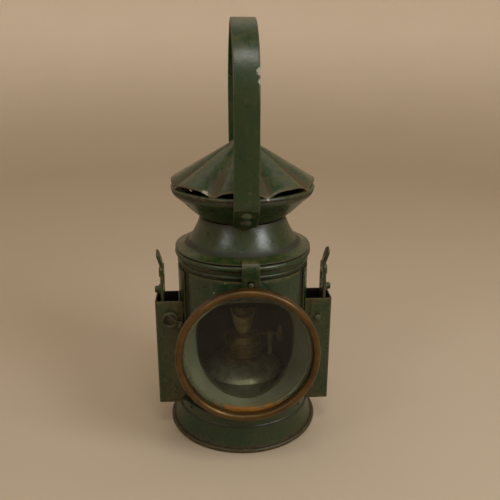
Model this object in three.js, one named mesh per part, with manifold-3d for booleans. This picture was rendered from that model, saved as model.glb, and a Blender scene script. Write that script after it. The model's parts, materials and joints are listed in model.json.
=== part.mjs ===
// Railway-type hand signal lamp: a sheet-metal oil lamp with one round lens, two side pockets
// with pull slides, and a hood that hinges back over the burner. Millimetres, +Z up, lens facing -Y.
// Everything is drawn around the lamp's own upright axis. The finished group is then moved along Y,
// so that its origin is on the ground under the middle of the whole object.
import * as THREE from "three";
import { mergeVertices } from "three/addons/utils/BufferGeometryUtils.js";
import Module from "manifold-3d";

const wasm = await Module();
wasm.setup();

// ---------------------------------------------------------------- driving dimensions
const SHEET = 0.9; // sheet metal
const GAP = 0.3; // air between neighbouring pieces
const ROUND = 32; // sides of a large turned piece
const SMALL_ROUND = 16; // sides of a small turned piece
const BEAD_SIDES = 8; // sides of a rolled bead's section

const BODY_R = 44.4;
const BODY_BOTTOM = 17;
const BODY_TOP = 128.9;
const PLATE_IN = BODY_R + GAP; // plates wrapped round the body
const PLATE_OUT = PLATE_IN + 0.8;
const OVER_PLATE = PLATE_OUT + GAP;
const GROOVE_ANGLE = 59; // degrees from the front to the middle of the groove between plates
const GROOVE_HALF = 4.5; // half the groove's width, in degrees

const FOOT_R = 54;
const FOOT_BEAD_R = 1.6;
const SKIRT_TOP = 24;
const SKIRT_BAND_R = 47.2;
const AIR_HOLES = [54, 90, 126, 162, 198, 234, 270, 306]; // bearings from the front; none under the lens

const OPENING_HALF = 32.5; // lens opening in the body wall
const OPENING_LOW = 71.9; // centre height of its round lower end
const OPENING_SHOULDER = 88; // height where its straight sides end
const OPENING_CROWN = 21; // rise from there to the top

const LENS_Z = 81.1;
const HOUSING_FRONT_Y = -64.5;
const HOUSING_BACK_Y = -25;
const HOUSING_FRONT_R = 43.8;
const HOUSING_BACK_R = 32.1;
const HOUSING_WALL = 0.8;
const BEZEL_R = 45.3;
const BEZEL_HOLE_R = 40.9;
const BEZEL_FRONT_Y = -69.2;
const GLASS_R = 41.8;

const COLLAR_R = 47.2;
const COLLAR_BEAD_R = 2.2;
const COLLAR_Z = 131.4;

const RIM_R = 48.55; // rolled rim of the vent funnel
const RIM_BEAD_R = 1.5;
const RIM_Z = 175.8;
const VENT_HOLES = [30, 60, 90, 120, 150, 210, 240, 270, 300, 330]; // none under the handle's ends

const CAP_VALLEYS = [-115, -70, -25, 15.5, 57, 101, 148, 196, 245]; // bearings; the last is the first again
const CAP_R = 48.2;
const CAP_APEX_Z = 209.8;
const CAP_RIDGE_DROP = 0.59; // fall of a lobe's ridge per millimetre of radius
const CAP_VALLEY_DEPTH = 3.6; // how far a valley lies under its ridges at the edge
const CAP_SHEET = 0.8;
const VALLEY_SHARE = 0.11; // part of a lobe's width that the flat valley takes

const HASP_X = 2.7; // the front hasp and its stud stand a little to the right
const HASP_HALF = 5.7;

const HANDLE_R = 50; // strap's middle line to the lamp's axis
const HANDLE_CENTRE_Z = 230.8;
const STRAP = 2;
const STRAP_WIDTH = 16;

const HINGE_Y = 50.2;
const HINGE_Z = COLLAR_Z;
const HINGE_R = 2.2;
const HINGE_HALF = 12;
const HINGE_PIN_R = 1;

const POCKET_X = 61.2;
const POCKET_FRONT_Y = -17.6;
const POCKET_BACK_Y = 2.2;
const POCKET_LOW = 19.9;
const POCKET_HIGH = 98.8;

const SLIDE_X = 55.2; // inner face of the slide
const SLIDE_THICK = 1.8;
const SLIDE_Y = (POCKET_FRONT_Y + POCKET_BACK_Y) / 2;
const SLIDE_LOW = 23;
const SLIDE_STUD_Z = 104.3;

const CATCH_X = -51.2;
const CATCH_Z = 85.3;
const CATCH_R = 6;
const PIVOT_X = -44.2;
const PIVOT_Z = 82.6;
const WIRE_R = 0.55;
const WIRE_LENGTH = 12;

const FLOOR_TOP = BODY_BOTTOM + 1.4;
const FOUNT_R = 28;
const FOUNT_LOW = FLOOR_TOP + GAP;
const BURNER_HOLE_R = 11;
const WICK_R = 2.5;
const TUBE_R = 3.35;
const SPINDLE_Y = 6.1;
const SPINDLE_Z = 61.3;
const SPINDLE_R = 0.9;
const KNOB_R = 6.1;
const KNOB_X = 26.7;

const AXIS_Y = -(BEZEL_FRONT_Y + FOOT_R) / 2; // the bezel is foremost, the foot rearmost

// ---------------------------------------------------------------- solids
const rad = THREE.MathUtils.degToRad;
const mirrorX = new THREE.Matrix4().makeScale(-1, 1, 1);

// A closed geometry as a solid: shared corners merged, empty triangles dropped, faces outward.
function solid(geometry) {
  const bare = geometry.index ? geometry.toNonIndexed() : geometry.clone();
  bare.deleteAttribute("normal");
  bare.deleteAttribute("uv");
  const merged = mergeVertices(bare, 1e-4);
  const corners = merged.index.array;
  const triVerts = [];
  for (let i = 0; i < corners.length; i += 3) {
    const [a, b, c] = corners.slice(i, i + 3);
    if (a !== b && b !== c && c !== a) triVerts.push(a, b, c);
  }
  const make = (faces) =>
    new wasm.Manifold(
      new wasm.Mesh({
        numProp: 3,
        vertProperties: merged.attributes.position.array,
        triVerts: new Uint32Array(faces),
      }),
    );
  const made = make(triVerts);
  return made.volume() > 0 ? made : make(triVerts.reverse());
}

function toGeometry(manifold) {
  const mesh = manifold.getMesh();
  const geometry = new THREE.BufferGeometry();
  const positions = new Float32Array(mesh.numVert * 3);
  for (let i = 0; i < mesh.numVert; i++)
    for (let k = 0; k < 3; k++)
      positions[3 * i + k] = mesh.vertProperties[i * mesh.numProp + k];
  geometry.setAttribute("position", new THREE.BufferAttribute(positions, 3));
  geometry.setIndex(new THREE.BufferAttribute(new Uint32Array(mesh.triVerts), 1));
  return geometry;
}

const join = (...parts) => parts.reduce((all, part) => all.add(part));
const cut = (from, ...tools) => tools.reduce((rest, tool) => rest.subtract(tool), from);

// A profile of [radius, height] points turned about the upright axis.
// It starts and ends on the axis, or it is closed here.
function turned(profile, sides = ROUND) {
  const onAxis = profile[0][0] === 0 && profile.at(-1)[0] === 0;
  const points = onAxis ? profile : [...profile, profile[0]];
  const lathe = new THREE.LatheGeometry(
    points.map(([r, z]) => new THREE.Vector2(r, z)),
    sides,
  );
  return solid(lathe.rotateX(Math.PI / 2));
}

// The section of a rolled bead, with flats at its lowest and outermost sides.
function beadSection(r, z, radius) {
  const toCorner = radius / Math.cos(Math.PI / BEAD_SIDES);
  const points = [];
  for (let i = 0; i < BEAD_SIDES; i++) {
    const angle = (2 * Math.PI * (i + 0.5)) / BEAD_SIDES;
    points.push([r + toCorner * Math.sin(angle), z + toCorner * Math.cos(angle)]);
  }
  return points;
}

// A strip of sheet: the outer line [r, z], and the same line moved inwards by the thickness.
function sheetProfile(outer, thickness = SHEET) {
  const inner = outer.map(([r, z], i) => {
    const [r0, z0] = outer[Math.max(i - 1, 0)];
    const [r1, z1] = outer[Math.min(i + 1, outer.length - 1)];
    const length = Math.hypot(r1 - r0, z1 - z0);
    return [r - (thickness * (z1 - z0)) / length, z + (thickness * (r1 - r0)) / length];
  });
  return [...outer, ...inner.reverse()];
}

// An outline extruded along X, given as [y, z] points.
function alongX(outline, x0, x1) {
  const shape = new THREE.Shape(outline.map(([y, z]) => new THREE.Vector2(y, z)));
  const geometry = new THREE.ExtrudeGeometry(shape, { depth: x1 - x0, bevelEnabled: false });
  const axes = new THREE.Matrix4().makeBasis(
    new THREE.Vector3(0, 1, 0),
    new THREE.Vector3(0, 0, 1),
    new THREE.Vector3(1, 0, 0),
  );
  return solid(geometry.applyMatrix4(axes).translate(x0, 0, 0));
}

// A shape in the XZ plane extruded along Y.
function alongY(shape, y0, y1, curveSegments = 12) {
  const geometry = new THREE.ExtrudeGeometry(shape, {
    depth: y1 - y0,
    bevelEnabled: false,
    curveSegments,
  });
  return solid(geometry.rotateX(Math.PI / 2).translate(0, y1, 0));
}

function box(x0, x1, y0, y1, z0, z1) {
  const geometry = new THREE.BoxGeometry(x1 - x0, y1 - y0, z1 - z0);
  return solid(geometry.translate((x0 + x1) / 2, (y0 + y1) / 2, (z0 + z1) / 2));
}

// A round bar from one point to another, with its own radius at each end.
function taper(from, to, radius, endRadius, sides = SMALL_ROUND) {
  const start = new THREE.Vector3(...from);
  const span = new THREE.Vector3(...to).sub(start);
  const geometry = new THREE.CylinderGeometry(endRadius, radius, span.length(), sides);
  const up = new THREE.Vector3(0, 1, 0);
  const turn = new THREE.Quaternion().setFromUnitVectors(up, span.clone().normalize());
  geometry.applyQuaternion(turn);
  return solid(geometry.translate(...start.addScaledVector(span, 0.5).toArray()));
}

const bar = (from, to, radius, sides) => taper(from, to, radius, radius, sides);

// A turned profile laid along Y, with its lower heights towards the front.
function turnedAboutY(profile, x, z, sides = ROUND) {
  return turned(profile, sides).rotate([-90, 0, 0]).translate([x, 0, z]);
}

// A flat ring and a flat disc about the upright axis.
const flatRing = (inner, outer, z0, z1, sides) =>
  turned([[inner, z0], [outer, z0], [outer, z1], [inner, z1]], sides);

const flatDisc = (radius, z0, z1, sides) =>
  turned([[0, z0], [radius, z0], [radius, z1], [0, z1]], sides);

// Curved sheet wrapped round the body, between two angles measured from the front.
function wrappedPlate(angle0, angle1, z0, z1) {
  const start = rad(angle0 - 90);
  const end = rad(angle1 - 90);
  const shape = new THREE.Shape();
  shape.absarc(0, 0, PLATE_OUT, start, end, false);
  shape.absarc(0, 0, PLATE_IN, end, start, true);
  const steps = Math.ceil(Math.abs(angle1 - angle0) / (360 / ROUND));
  const geometry = new THREE.ExtrudeGeometry(shape, {
    depth: z1 - z0,
    bevelEnabled: false,
    curveSegments: steps,
  });
  return solid(geometry.translate(0, 0, z0));
}

// ---------------------------------------------------------------- finishes
const ENAMEL = { color: 0x3a4a30, roughness: 0.35, metalness: 0.1 };
const PALE_PAINT = { color: 0x9aa08a, roughness: 0.6, metalness: 0 };
const BRASS = { color: 0x8a5a26, roughness: 0.4, metalness: 0.9 };
const STEEL = { color: 0x6b6a62, roughness: 0.45, metalness: 0.9 };
const TINPLATE = { color: 0x8d8f7c, roughness: 0.3, metalness: 0.8 };
const GLASS = { color: 0xdfe6e0, roughness: 0.05, metalness: 0 };
const PUTTY = { color: 0xb7ad84, roughness: 0.8, metalness: 0 };
const COTTON = { color: 0xcfc6a8, roughness: 0.95, metalness: 0 };

const lamp = new THREE.Group();
lamp.position.y = AXIS_Y;

function piece(name, manifold, finish) {
  const mesh = new THREE.Mesh(toGeometry(manifold), new THREE.MeshStandardMaterial(finish));
  mesh.name = name;
  lamp.add(mesh);
}

// The same piece on both sides: drawn on the right, mirrored to the left.
function pair(name, manifold, finish) {
  piece(name + "_right", manifold, finish);
  piece(name + "_left", manifold.transform(mirrorX.elements), finish);
}

// ---------------------------------------------------------------- base
function baseSkirt() {
  const bead = turned(beadSection(FOOT_R - FOOT_BEAD_R, FOOT_BEAD_R, FOOT_BEAD_R));
  const band = SKIRT_BAND_R;
  const wall = turned([
    [52.4, 2],
    [50.4, 6.5],
    [48.6, 11],
    [band, 16.5],
    [band, SKIRT_TOP],
    [PLATE_IN, SKIRT_TOP],
    [PLATE_IN, SKIRT_TOP - SHEET],
    [band - SHEET, SKIRT_TOP - SHEET],
    [band - SHEET, 16.3],
    [47.7, 10.7],
    [49.5, 6.2],
    [51.2, 2],
  ]);
  const holes = [];
  for (const bearing of AIR_HOLES) {
    const [x, y] = [Math.sin(rad(bearing)), -Math.cos(rad(bearing))];
    holes.push(bar([44 * x, 44 * y, 21.4], [49 * x, 49 * y, 21.4], 1.3, 8));
  }
  return cut(join(wall, bead), ...holes);
}

piece("base_skirt", baseSkirt(), ENAMEL);

piece(
  "base_floor",
  turned([
    [0, BODY_BOTTOM + 0.5],
    [43.2, BODY_BOTTOM + 0.5],
    [43.2, 23],
    [42.3, 23],
    [42.3, FLOOR_TOP],
    [0, FLOOR_TOP],
  ]),
  TINPLATE,
);

piece(
  "fount_socket",
  turned([
    [FOUNT_R + 0.6, FOUNT_LOW],
    [FOUNT_R + 3.2, FOUNT_LOW],
    [FOUNT_R + 3.2, FOUNT_LOW + SHEET],
    [FOUNT_R + 1.4, FOUNT_LOW + SHEET],
    [FOUNT_R + 1.4, 26],
    [FOUNT_R + 0.6, 26],
  ]),
  TINPLATE,
);

// ---------------------------------------------------------------- lens housing and body
// The housing's outline at depth y: a circle at the front that grows a straight stretch between
// its upper and lower halves towards the body.
function housingRing(y, inset) {
  const share = (HOUSING_FRONT_Y - y) / (HOUSING_FRONT_Y - HOUSING_BACK_Y);
  const radius = THREE.MathUtils.lerp(HOUSING_FRONT_R, HOUSING_BACK_R, share) - inset;
  const lower = THREE.MathUtils.lerp(LENS_Z, OPENING_LOW, share);
  const upper = THREE.MathUtils.lerp(LENS_Z, LENS_Z - 2, share);
  const half = ROUND / 2;
  const points = [];
  for (let i = 0; i <= half; i++) {
    const angle = (Math.PI * i) / half;
    points.push([radius * Math.cos(angle), y, upper + radius * Math.sin(angle)]);
  }
  for (let i = 0; i <= half; i++) {
    const angle = Math.PI + (Math.PI * i) / half;
    points.push([radius * Math.cos(angle), y, lower + radius * Math.sin(angle)]);
  }
  return points;
}

// A closed skin over rings of equal length: each ring is joined to the next, and the last to the
// first when it is hollow; otherwise the two ends are closed flat.
function skin(rings, hollow) {
  const count = rings[0].length;
  const positions = rings.flat(2);
  const faces = [];
  const steps = hollow ? rings.length : rings.length - 1;
  for (let r = 0; r < steps; r++) {
    const next = (r + 1) % rings.length;
    for (let i = 0; i < count; i++) {
      const j = (i + 1) % count;
      const [a, b] = [r * count + i, r * count + j];
      const [c, d] = [next * count + i, next * count + j];
      faces.push(a, b, d, a, d, c);
    }
  }
  if (!hollow)
    for (let i = 1; i < count - 1; i++) {
      faces.push(0, i + 1, i);
      const last = (rings.length - 1) * count;
      faces.push(last, last + i, last + i + 1);
    }
  const geometry = new THREE.BufferGeometry();
  geometry.setAttribute("position", new THREE.Float32BufferAttribute(positions, 3));
  geometry.setIndex(faces);
  return solid(geometry);
}

// At the front the two centres of the outline coincide; the small offset keeps its corners apart.
const housingFront = HOUSING_FRONT_Y + 0.01;
const insideHousing = skin(
  [housingRing(housingFront, HOUSING_WALL), housingRing(HOUSING_BACK_Y, HOUSING_WALL)],
  false,
);

function lensOpening() {
  const shape = new THREE.Shape();
  shape.moveTo(-OPENING_HALF, OPENING_SHOULDER);
  shape.lineTo(-OPENING_HALF, OPENING_LOW);
  shape.absarc(0, OPENING_LOW, OPENING_HALF, Math.PI, 2 * Math.PI, false);
  shape.lineTo(OPENING_HALF, OPENING_SHOULDER);
  shape.absellipse(0, OPENING_SHOULDER, OPENING_HALF, OPENING_CROWN, 0, Math.PI, false);
  return alongY(shape, -60, -20).intersect(insideHousing);
}

const opening = lensOpening();

piece(
  "body_shell",
  turned([
    [BODY_R, BODY_BOTTOM],
    [BODY_R, 123.6],
    [BODY_R + 1.2, 125.2],
    [BODY_R, 126.8],
    [BODY_R, BODY_TOP],
    [BODY_R - SHEET, BODY_TOP],
    [BODY_R - SHEET, BODY_BOTTOM],
  ]).subtract(opening),
  ENAMEL,
);

const PLATE_LOW = SKIRT_TOP + 0.4;
const FRONT_PLATE_HALF = GROOVE_ANGLE - GROOVE_HALF;
piece(
  "front_plate",
  wrappedPlate(-FRONT_PLATE_HALF, FRONT_PLATE_HALF, PLATE_LOW, 122.8).subtract(opening),
  ENAMEL,
);
pair("side_plate", wrappedPlate(GROOVE_ANGLE + GROOVE_HALF, 112, PLATE_LOW, 121.4), ENAMEL);

piece(
  "lens_housing",
  cut(
    skin(
      [
        housingRing(housingFront, 0),
        housingRing(HOUSING_BACK_Y, 0),
        housingRing(HOUSING_BACK_Y, HOUSING_WALL),
        housingRing(housingFront, HOUSING_WALL),
      ],
      true,
    ),
    flatDisc(OVER_PLATE, 0, 150),
  ),
  PALE_PAINT,
);

// The lens and its ring: profiles are [radius, depth], turned about the lens's axis.
piece(
  "lens_bezel",
  turnedAboutY(
    [
      [BEZEL_HOLE_R, -65.5],
      [BEZEL_HOLE_R, -66.4],
      [41.6, -68.1],
      [43.2, BEZEL_FRONT_Y],
      [44.6, -68.4],
      [BEZEL_R, -66.8],
      [BEZEL_R, -62.8],
      [44.3, -62.8],
      [44.3, -65.5],
    ],
    0,
    LENS_Z,
  ),
  BRASS,
);
piece(
  "lens_glass",
  turnedAboutY(
    [
      [0, -65.5],
      [18, -65.1],
      [34, -64.1],
      [BEZEL_HOLE_R - 0.6, -63.2],
      [GLASS_R, -63.2],
      [GLASS_R, -65.2],
      [BEZEL_HOLE_R - 0.6, -65.2],
      [34, -66.1],
      [18, -67.1],
      [0, -67.5],
    ],
    0,
    LENS_Z,
  ),
  GLASS,
);
piece(
  "lens_gasket",
  turnedAboutY([[38.2, -61.2], [41.4, -61.2], [41.4, -62.9], [38.2, -62.9]], 0, LENS_Z),
  PUTTY,
);

// ---------------------------------------------------------------- top of the body
piece(
  "collar_ring",
  join(
    turned(beadSection(COLLAR_R - COLLAR_BEAD_R, COLLAR_Z, COLLAR_BEAD_R)),
    turned([
      [42.3, 125],
      [43.1, 125],
      [43.1, 129.6],
      [44.5, 130.6],
      [44.5, 132.6],
      [42.3, 132.6],
    ]),
  ),
  ENAMEL,
);

const STUD_Z = 122.1;
piece(
  "latch_stud",
  taper([HASP_X, -OVER_PLATE, STUD_Z], [HASP_X, -50.6, STUD_Z], 1.7, 1.5),
  STEEL,
);

// ---------------------------------------------------------------- rear hinge
const MIDDLE_KNUCKLE = 4;

const onHinge = (x0, x1, radius) =>
  bar([x0, HINGE_Y, HINGE_Z], [x1, HINGE_Y, HINGE_Z], radius, 12);

const pinHole = onHinge(-15, 15, HINGE_PIN_R + GAP);

const knuckle = (x0, x1) => onHinge(x0, x1, HINGE_R).subtract(pinHole);

function bodyLeaf() {
  const outline = [
    [41, 106],
    [46.1, 106],
    [46.1, 120],
    [49.6, 123.6],
    [51.6, 130],
    [48.4, 130],
    [48.4, 124.2],
    [41, 120.5],
  ];
  const room = [[47.3, 127], [54, 127], [54, 137], [47.3, 137]];
  const clear = alongX(room, MIDDLE_KNUCKLE + GAP, HINGE_HALF + 1);
  const leaf = cut(
    alongX(outline, -HINGE_HALF, HINGE_HALF),
    flatDisc(PLATE_IN, 0, 150),
    clear,
    clear.transform(mirrorX.elements),
    pinHole,
  );
  return join(leaf, knuckle(-MIDDLE_KNUCKLE, MIDDLE_KNUCKLE));
}

function hoodLeaf() {
  const outline = [[51, 133], [47.8, 136.4], [38, 140.2], [38, 139], [46.9, 135.4], [49, 132.6]];
  const room = [[47.2, 128], [54, 128], [54, 134.3], [47.2, 134.3]];
  const clear = alongX(room, -MIDDLE_KNUCKLE - GAP, MIDDLE_KNUCKLE + GAP);
  const leaf = cut(alongX(outline, -HINGE_HALF, HINGE_HALF), clear, pinHole);
  const side = knuckle(MIDDLE_KNUCKLE + GAP, HINGE_HALF);
  return join(leaf, side, side.transform(mirrorX.elements));
}

piece("hinge_leaf_body", bodyLeaf(), ENAMEL);
piece("hinge_leaf_hood", hoodLeaf(), ENAMEL);
piece("hinge_pin", onHinge(-HINGE_HALF - 1, HINGE_HALF + 1, HINGE_PIN_R), STEEL);

// ---------------------------------------------------------------- hood
const SHOULDER_LINE = [
  [46.9, 134.8],
  [42, 136.3],
  [38.2, 138.4],
  [34.2, 144.2],
  [31.2, 150],
  [29.1, 155.3],
];
const FUNNEL_LINE = [[29.3, 155.8], [35.6, 161], [41.2, 166.6], [47.8, 172.2], [48.4, 175.6]];

piece("hood_shoulder", turned(sheetProfile(SHOULDER_LINE)), ENAMEL);
piece("hood_spigot", flatRing(41.1, 41.9, 129.8, 135), ENAMEL);

function ventFunnel() {
  const cup = turned(sheetProfile(FUNNEL_LINE));
  const rim = turned(beadSection(RIM_R - RIM_BEAD_R, RIM_Z, RIM_BEAD_R));
  const holes = [];
  for (const bearing of VENT_HOLES) {
    const [x, y] = [Math.sin(rad(bearing)), -Math.cos(rad(bearing))];
    holes.push(bar([38 * x, 38 * y, 171.3], [46 * x, 46 * y, 163.3], 1.4, 8));
  }
  return cut(join(cup, rim), ...holes);
}

piece(
  "inner_chimney",
  turned([
    [22, 138],
    [22.8, 138],
    [22.8, 149],
    [29.4, 149],
    [29.4, 149.8],
    [22.8, 149.8],
    [22.8, 170],
    [22, 170],
  ], 24),
  STEEL,
);

// Height of the cap's outer face: broad lobes with steep sides and narrow flat valleys between them.
// across runs from 0 on a lobe's ridge to 1 in the middle of a valley.
function capHeight(r, across) {
  const fall = Math.min(across / (1 - VALLEY_SHARE), 1) ** 3.5;
  const tipRound = 2 * Math.exp(-r / 3);
  return CAP_APEX_Z - CAP_RIDGE_DROP * r - CAP_VALLEY_DEPTH * (r / CAP_R) * fall - tipRound;
}

function flutedCap() {
  const corners = [];
  for (let i = 0; i < CAP_VALLEYS.length - 1; i++) {
    const middle = (CAP_VALLEYS[i] + CAP_VALLEYS[i + 1]) / 2;
    const half = (CAP_VALLEYS[i + 1] - CAP_VALLEYS[i]) / 2;
    for (const share of [-0.89, -0.72, -0.5, 0, 0.5, 0.72, 0.89])
      corners.push({ angle: rad(middle + half * share), across: Math.abs(share) });
  }
  const ring = (r, drop) =>
    corners.map(({ angle, across }) => [
      r * Math.sin(angle),
      -r * Math.cos(angle),
      capHeight(r, across) - drop,
    ]);
  const radii = [1.2, 6, 18, 32, CAP_R];
  return skin(
    [...radii.map((r) => ring(r, 0)), ...radii.reverse().map((r) => ring(r, CAP_SHEET))],
    false,
  );
}

piece("fluted_cap", flutedCap(), ENAMEL);

// ---------------------------------------------------------------- handle
// The strap's inner and outer lines in [y, z], for the front leg; the rear leg mirrors them.
const INNER_LEG = [[-31.4, 155.6], [-36.8, 160.4], [-42.4, 166], [-48.6, 171.8], [-49, 174.6]];
const OUTER_LEG = [[-32.7, 154.1], [-38.2, 158.9], [-43.8, 164.5], [-50.4, 170.8], [-51, 174.2]];
const RIVET_SPOTS = [[-39.4, 160.1], [-45.4, 166.1]]; // on the strap's outer face
const FUNNEL_NORMAL = [-0.707, -0.707];

function rivetLine(spot, side, from, to) {
  const [ny, nz] = FUNNEL_NORMAL;
  const at = (t) => [0, side * (spot[0] + t * ny), spot[1] + t * nz];
  return [at(from), at(to)];
}

const rivetHoles = [];
for (const side of [1, -1])
  for (const spot of RIVET_SPOTS) {
    const [a, b] = rivetLine(spot, side, -7, 2);
    rivetHoles.push(bar(a, b, 1.9, 12));
  }

piece("vent_funnel", cut(ventFunnel(), ...rivetHoles), ENAMEL);

function carryingHandle() {
  const arc = (radius) => {
    const points = [];
    for (let i = 0; i <= 16; i++) {
      const angle = Math.PI - (Math.PI * i) / 16;
      points.push([radius * Math.cos(angle), HANDLE_CENTRE_Z + radius * Math.sin(angle)]);
    }
    return points;
  };
  const mirrored = (line) => line.map(([y, z]) => [-y, z]).reverse();
  const outer = [...OUTER_LEG, ...arc(HANDLE_R + STRAP / 2), ...mirrored(OUTER_LEG)];
  const inner = [...INNER_LEG, ...arc(HANDLE_R - STRAP / 2), ...mirrored(INNER_LEG)];
  const outline = [...outer, ...inner.reverse()];
  return cut(alongX(outline, -STRAP_WIDTH / 2, STRAP_WIDTH / 2), ...rivetHoles);
}

piece("carrying_handle", carryingHandle(), ENAMEL);

const RIVET_NAMES = ["lower", "upper"];
for (const [side, where] of [[1, "front"], [-1, "rear"]])
  RIVET_SPOTS.forEach((spot, i) => {
    const shank = bar(...rivetLine(spot, side, -4, 0.6), 1.5, 12);
    const head = taper(...rivetLine(spot, side, GAP, 1.9), 3.5, 2, 12);
    piece(`handle_rivet_${where}_${RIVET_NAMES[i]}`, join(shank, head), ENAMEL);
  });

// ---------------------------------------------------------------- front hasp
function frontHasp() {
  const outline = [
    [-47.7, 120.2],
    [-49.2, 120.2],
    [-49.2, 133.4],
    [-47.4, 136],
    [-43.4, 137.1],
    [-43.4, 136.1],
    [-46.9, 135.2],
    [-47.7, 134.2],
  ];
  const fork = box(HASP_X - 2.3, HASP_X + 2.3, -52, -45, 118, 124.4);
  return cut(alongX(outline, HASP_X - HASP_HALF, HASP_X + HASP_HALF), fork);
}

piece("front_hasp", frontHasp(), ENAMEL);

// ---------------------------------------------------------------- side pockets and slides
function pocket() {
  const outer = box(42, POCKET_X, POCKET_FRONT_Y, POCKET_BACK_Y, POCKET_LOW, POCKET_HIGH);
  const inner = box(
    40,
    POCKET_X - SHEET,
    POCKET_FRONT_Y + SHEET,
    POCKET_BACK_Y - SHEET,
    POCKET_LOW + SHEET,
    POCKET_HIGH + 5,
  );
  const body = flatDisc(OVER_PLATE, 0, 150);
  const band = flatDisc(SKIRT_BAND_R + GAP, 0, SKIRT_TOP + GAP);
  return cut(outer, inner, body, band);
}

pair("pocket", pocket(), ENAMEL);
pair(
  "pocket_rivet",
  taper([49.6, POCKET_FRONT_Y - GAP, 29.9], [49.6, POCKET_FRONT_Y - 1.1, 29.9], 1.6, 1.1, 12),
  STEEL,
);

// The slide stands on edge in its pocket: a blade with a looped pull whose tip leans outwards.
const STUD_FLANGE_X = SLIDE_X + SLIDE_THICK + GAP;
const onSlide = (x) => [x, SLIDE_Y, SLIDE_STUD_Z];

function slide() {
  const half = 8;
  const blade = alongX(
    [
      [SLIDE_Y - half, SLIDE_LOW],
      [SLIDE_Y + half, SLIDE_LOW],
      [SLIDE_Y + half, 112],
      [SLIDE_Y + 6.6, 121.5],
      [SLIDE_Y - 6.6, 121.5],
      [SLIDE_Y - half, 112],
    ],
    SLIDE_X,
    SLIDE_X + SLIDE_THICK,
  );
  const tipOutline = [
    [0, 118],
    [0, 122],
    [2.2, 130.5],
    [2.4, 133.3],
    [4, 133.3],
    [4.2, 130],
    [1.8, 121.4],
    [1.8, 118],
  ];
  const tip = alongY(
    new THREE.Shape(tipOutline.map(([x, z]) => new THREE.Vector2(SLIDE_X + x, z))),
    SLIDE_Y - 4.5,
    SLIDE_Y + 4.5,
  );
  const loop = box(SLIDE_X - 1, SLIDE_X + 3, SLIDE_Y - 4.2, SLIDE_Y + 4.2, 108.4, 114.6);
  const studHole = bar(onSlide(SLIDE_X - 1), onSlide(SLIDE_X + 3), 1.9, 12);
  return cut(join(blade, tip), loop, studHole);
}

const slideStud = join(
  bar(onSlide(SLIDE_X + 0.1), onSlide(STUD_FLANGE_X + 0.5), 1.5, 12),
  bar(onSlide(STUD_FLANGE_X), onSlide(STUD_FLANGE_X + 1.4), 3.7),
  bar(onSlide(STUD_FLANGE_X + 1), onSlide(61.6), 2.5),
);

pair("slide", slide(), ENAMEL);
pair("slide_stud", slideStud, STEEL);

// ---------------------------------------------------------------- wire catch
const CATCH_BACK_Y = POCKET_FRONT_Y - GAP;
const CATCH_FRONT_Y = CATCH_BACK_Y - 2.2;
const WIRE_Y = CATCH_FRONT_Y - GAP - WIRE_R;
piece(
  "catch_boss",
  turnedAboutY(
    [
      [3.2, CATCH_BACK_Y],
      [CATCH_R, CATCH_BACK_Y],
      [CATCH_R, CATCH_BACK_Y - 0.8],
      [CATCH_R - 1, CATCH_FRONT_Y],
      [3.8, CATCH_FRONT_Y],
      [3.2, CATCH_FRONT_Y + 0.8],
    ],
    CATCH_X,
    CATCH_Z,
    SMALL_ROUND,
  ),
  ENAMEL,
);
piece(
  "catch_pivot",
  join(
    bar([PIVOT_X, CATCH_BACK_Y, PIVOT_Z], [PIVOT_X, WIRE_Y - 1, PIVOT_Z], 0.9, 10),
    taper([PIVOT_X, WIRE_Y - WIRE_R - GAP, PIVOT_Z], [PIVOT_X, WIRE_Y - 1.7, PIVOT_Z], 1.7, 1.3, 10),
  ),
  STEEL,
);

function wireCatch() {
  const eyeR = 1.9;
  const eye = solid(new THREE.TorusGeometry(eyeR, WIRE_R, 8, 16).rotateX(Math.PI / 2));
  const slope = rad(135);
  const [ux, uz] = [Math.cos(slope), Math.sin(slope)];
  const end = [WIRE_LENGTH * ux, 0, WIRE_LENGTH * uz];
  const arm = bar([eyeR * ux, 0, eyeR * uz], end, WIRE_R, 8);
  return join(eye, arm).translate([PIVOT_X, WIRE_Y, PIVOT_Z]);
}

piece("wire_catch", wireCatch(), STEEL);

const besidePocket = (out) => [-CATCH_X, CATCH_BACK_Y - out, CATCH_Z];
piece(
  "pocket_stud",
  join(
    bar(besidePocket(0), besidePocket(2.6), 1.2, 12),
    taper(besidePocket(1.6), besidePocket(3.2), 2.2, 1.6, 12),
  ),
  STEEL,
);

// ---------------------------------------------------------------- fount and burner
piece(
  "fount",
  turned([
    [0, FOUNT_LOW],
    [27, FOUNT_LOW],
    [FOUNT_R, 19.8],
    [FOUNT_R, 37.8],
    [FOUNT_R + 0.5, 38.5],
    [27.6, 39.4],
    [23.5, 43.2],
    [17, 46.3],
    [BURNER_HOLE_R, 47.6],
    [BURNER_HOLE_R, 46.8],
    [16.6, 45.5],
    [23, 42.4],
    [26.8, 38.4],
    [26.9, 20.6],
    [26, FOUNT_LOW + SHEET],
    [0, FOUNT_LOW + SHEET],
  ]),
  TINPLATE,
);
const BURNER_SIDES = 20;
piece(
  "burner_collar",
  turned(
    [
      [9.7, 43],
      [BURNER_HOLE_R - GAP, 43],
      [BURNER_HOLE_R - GAP, 48],
      [14, 48],
      [14, 50],
      [9.7, 50],
    ],
    BURNER_SIDES,
  ),
  BRASS,
);

const onSpindle = (x0, x1, radius) =>
  bar([x0, SPINDLE_Y, SPINDLE_Z], [x1, SPINDLE_Y, SPINDLE_Z], radius, 10);

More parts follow.
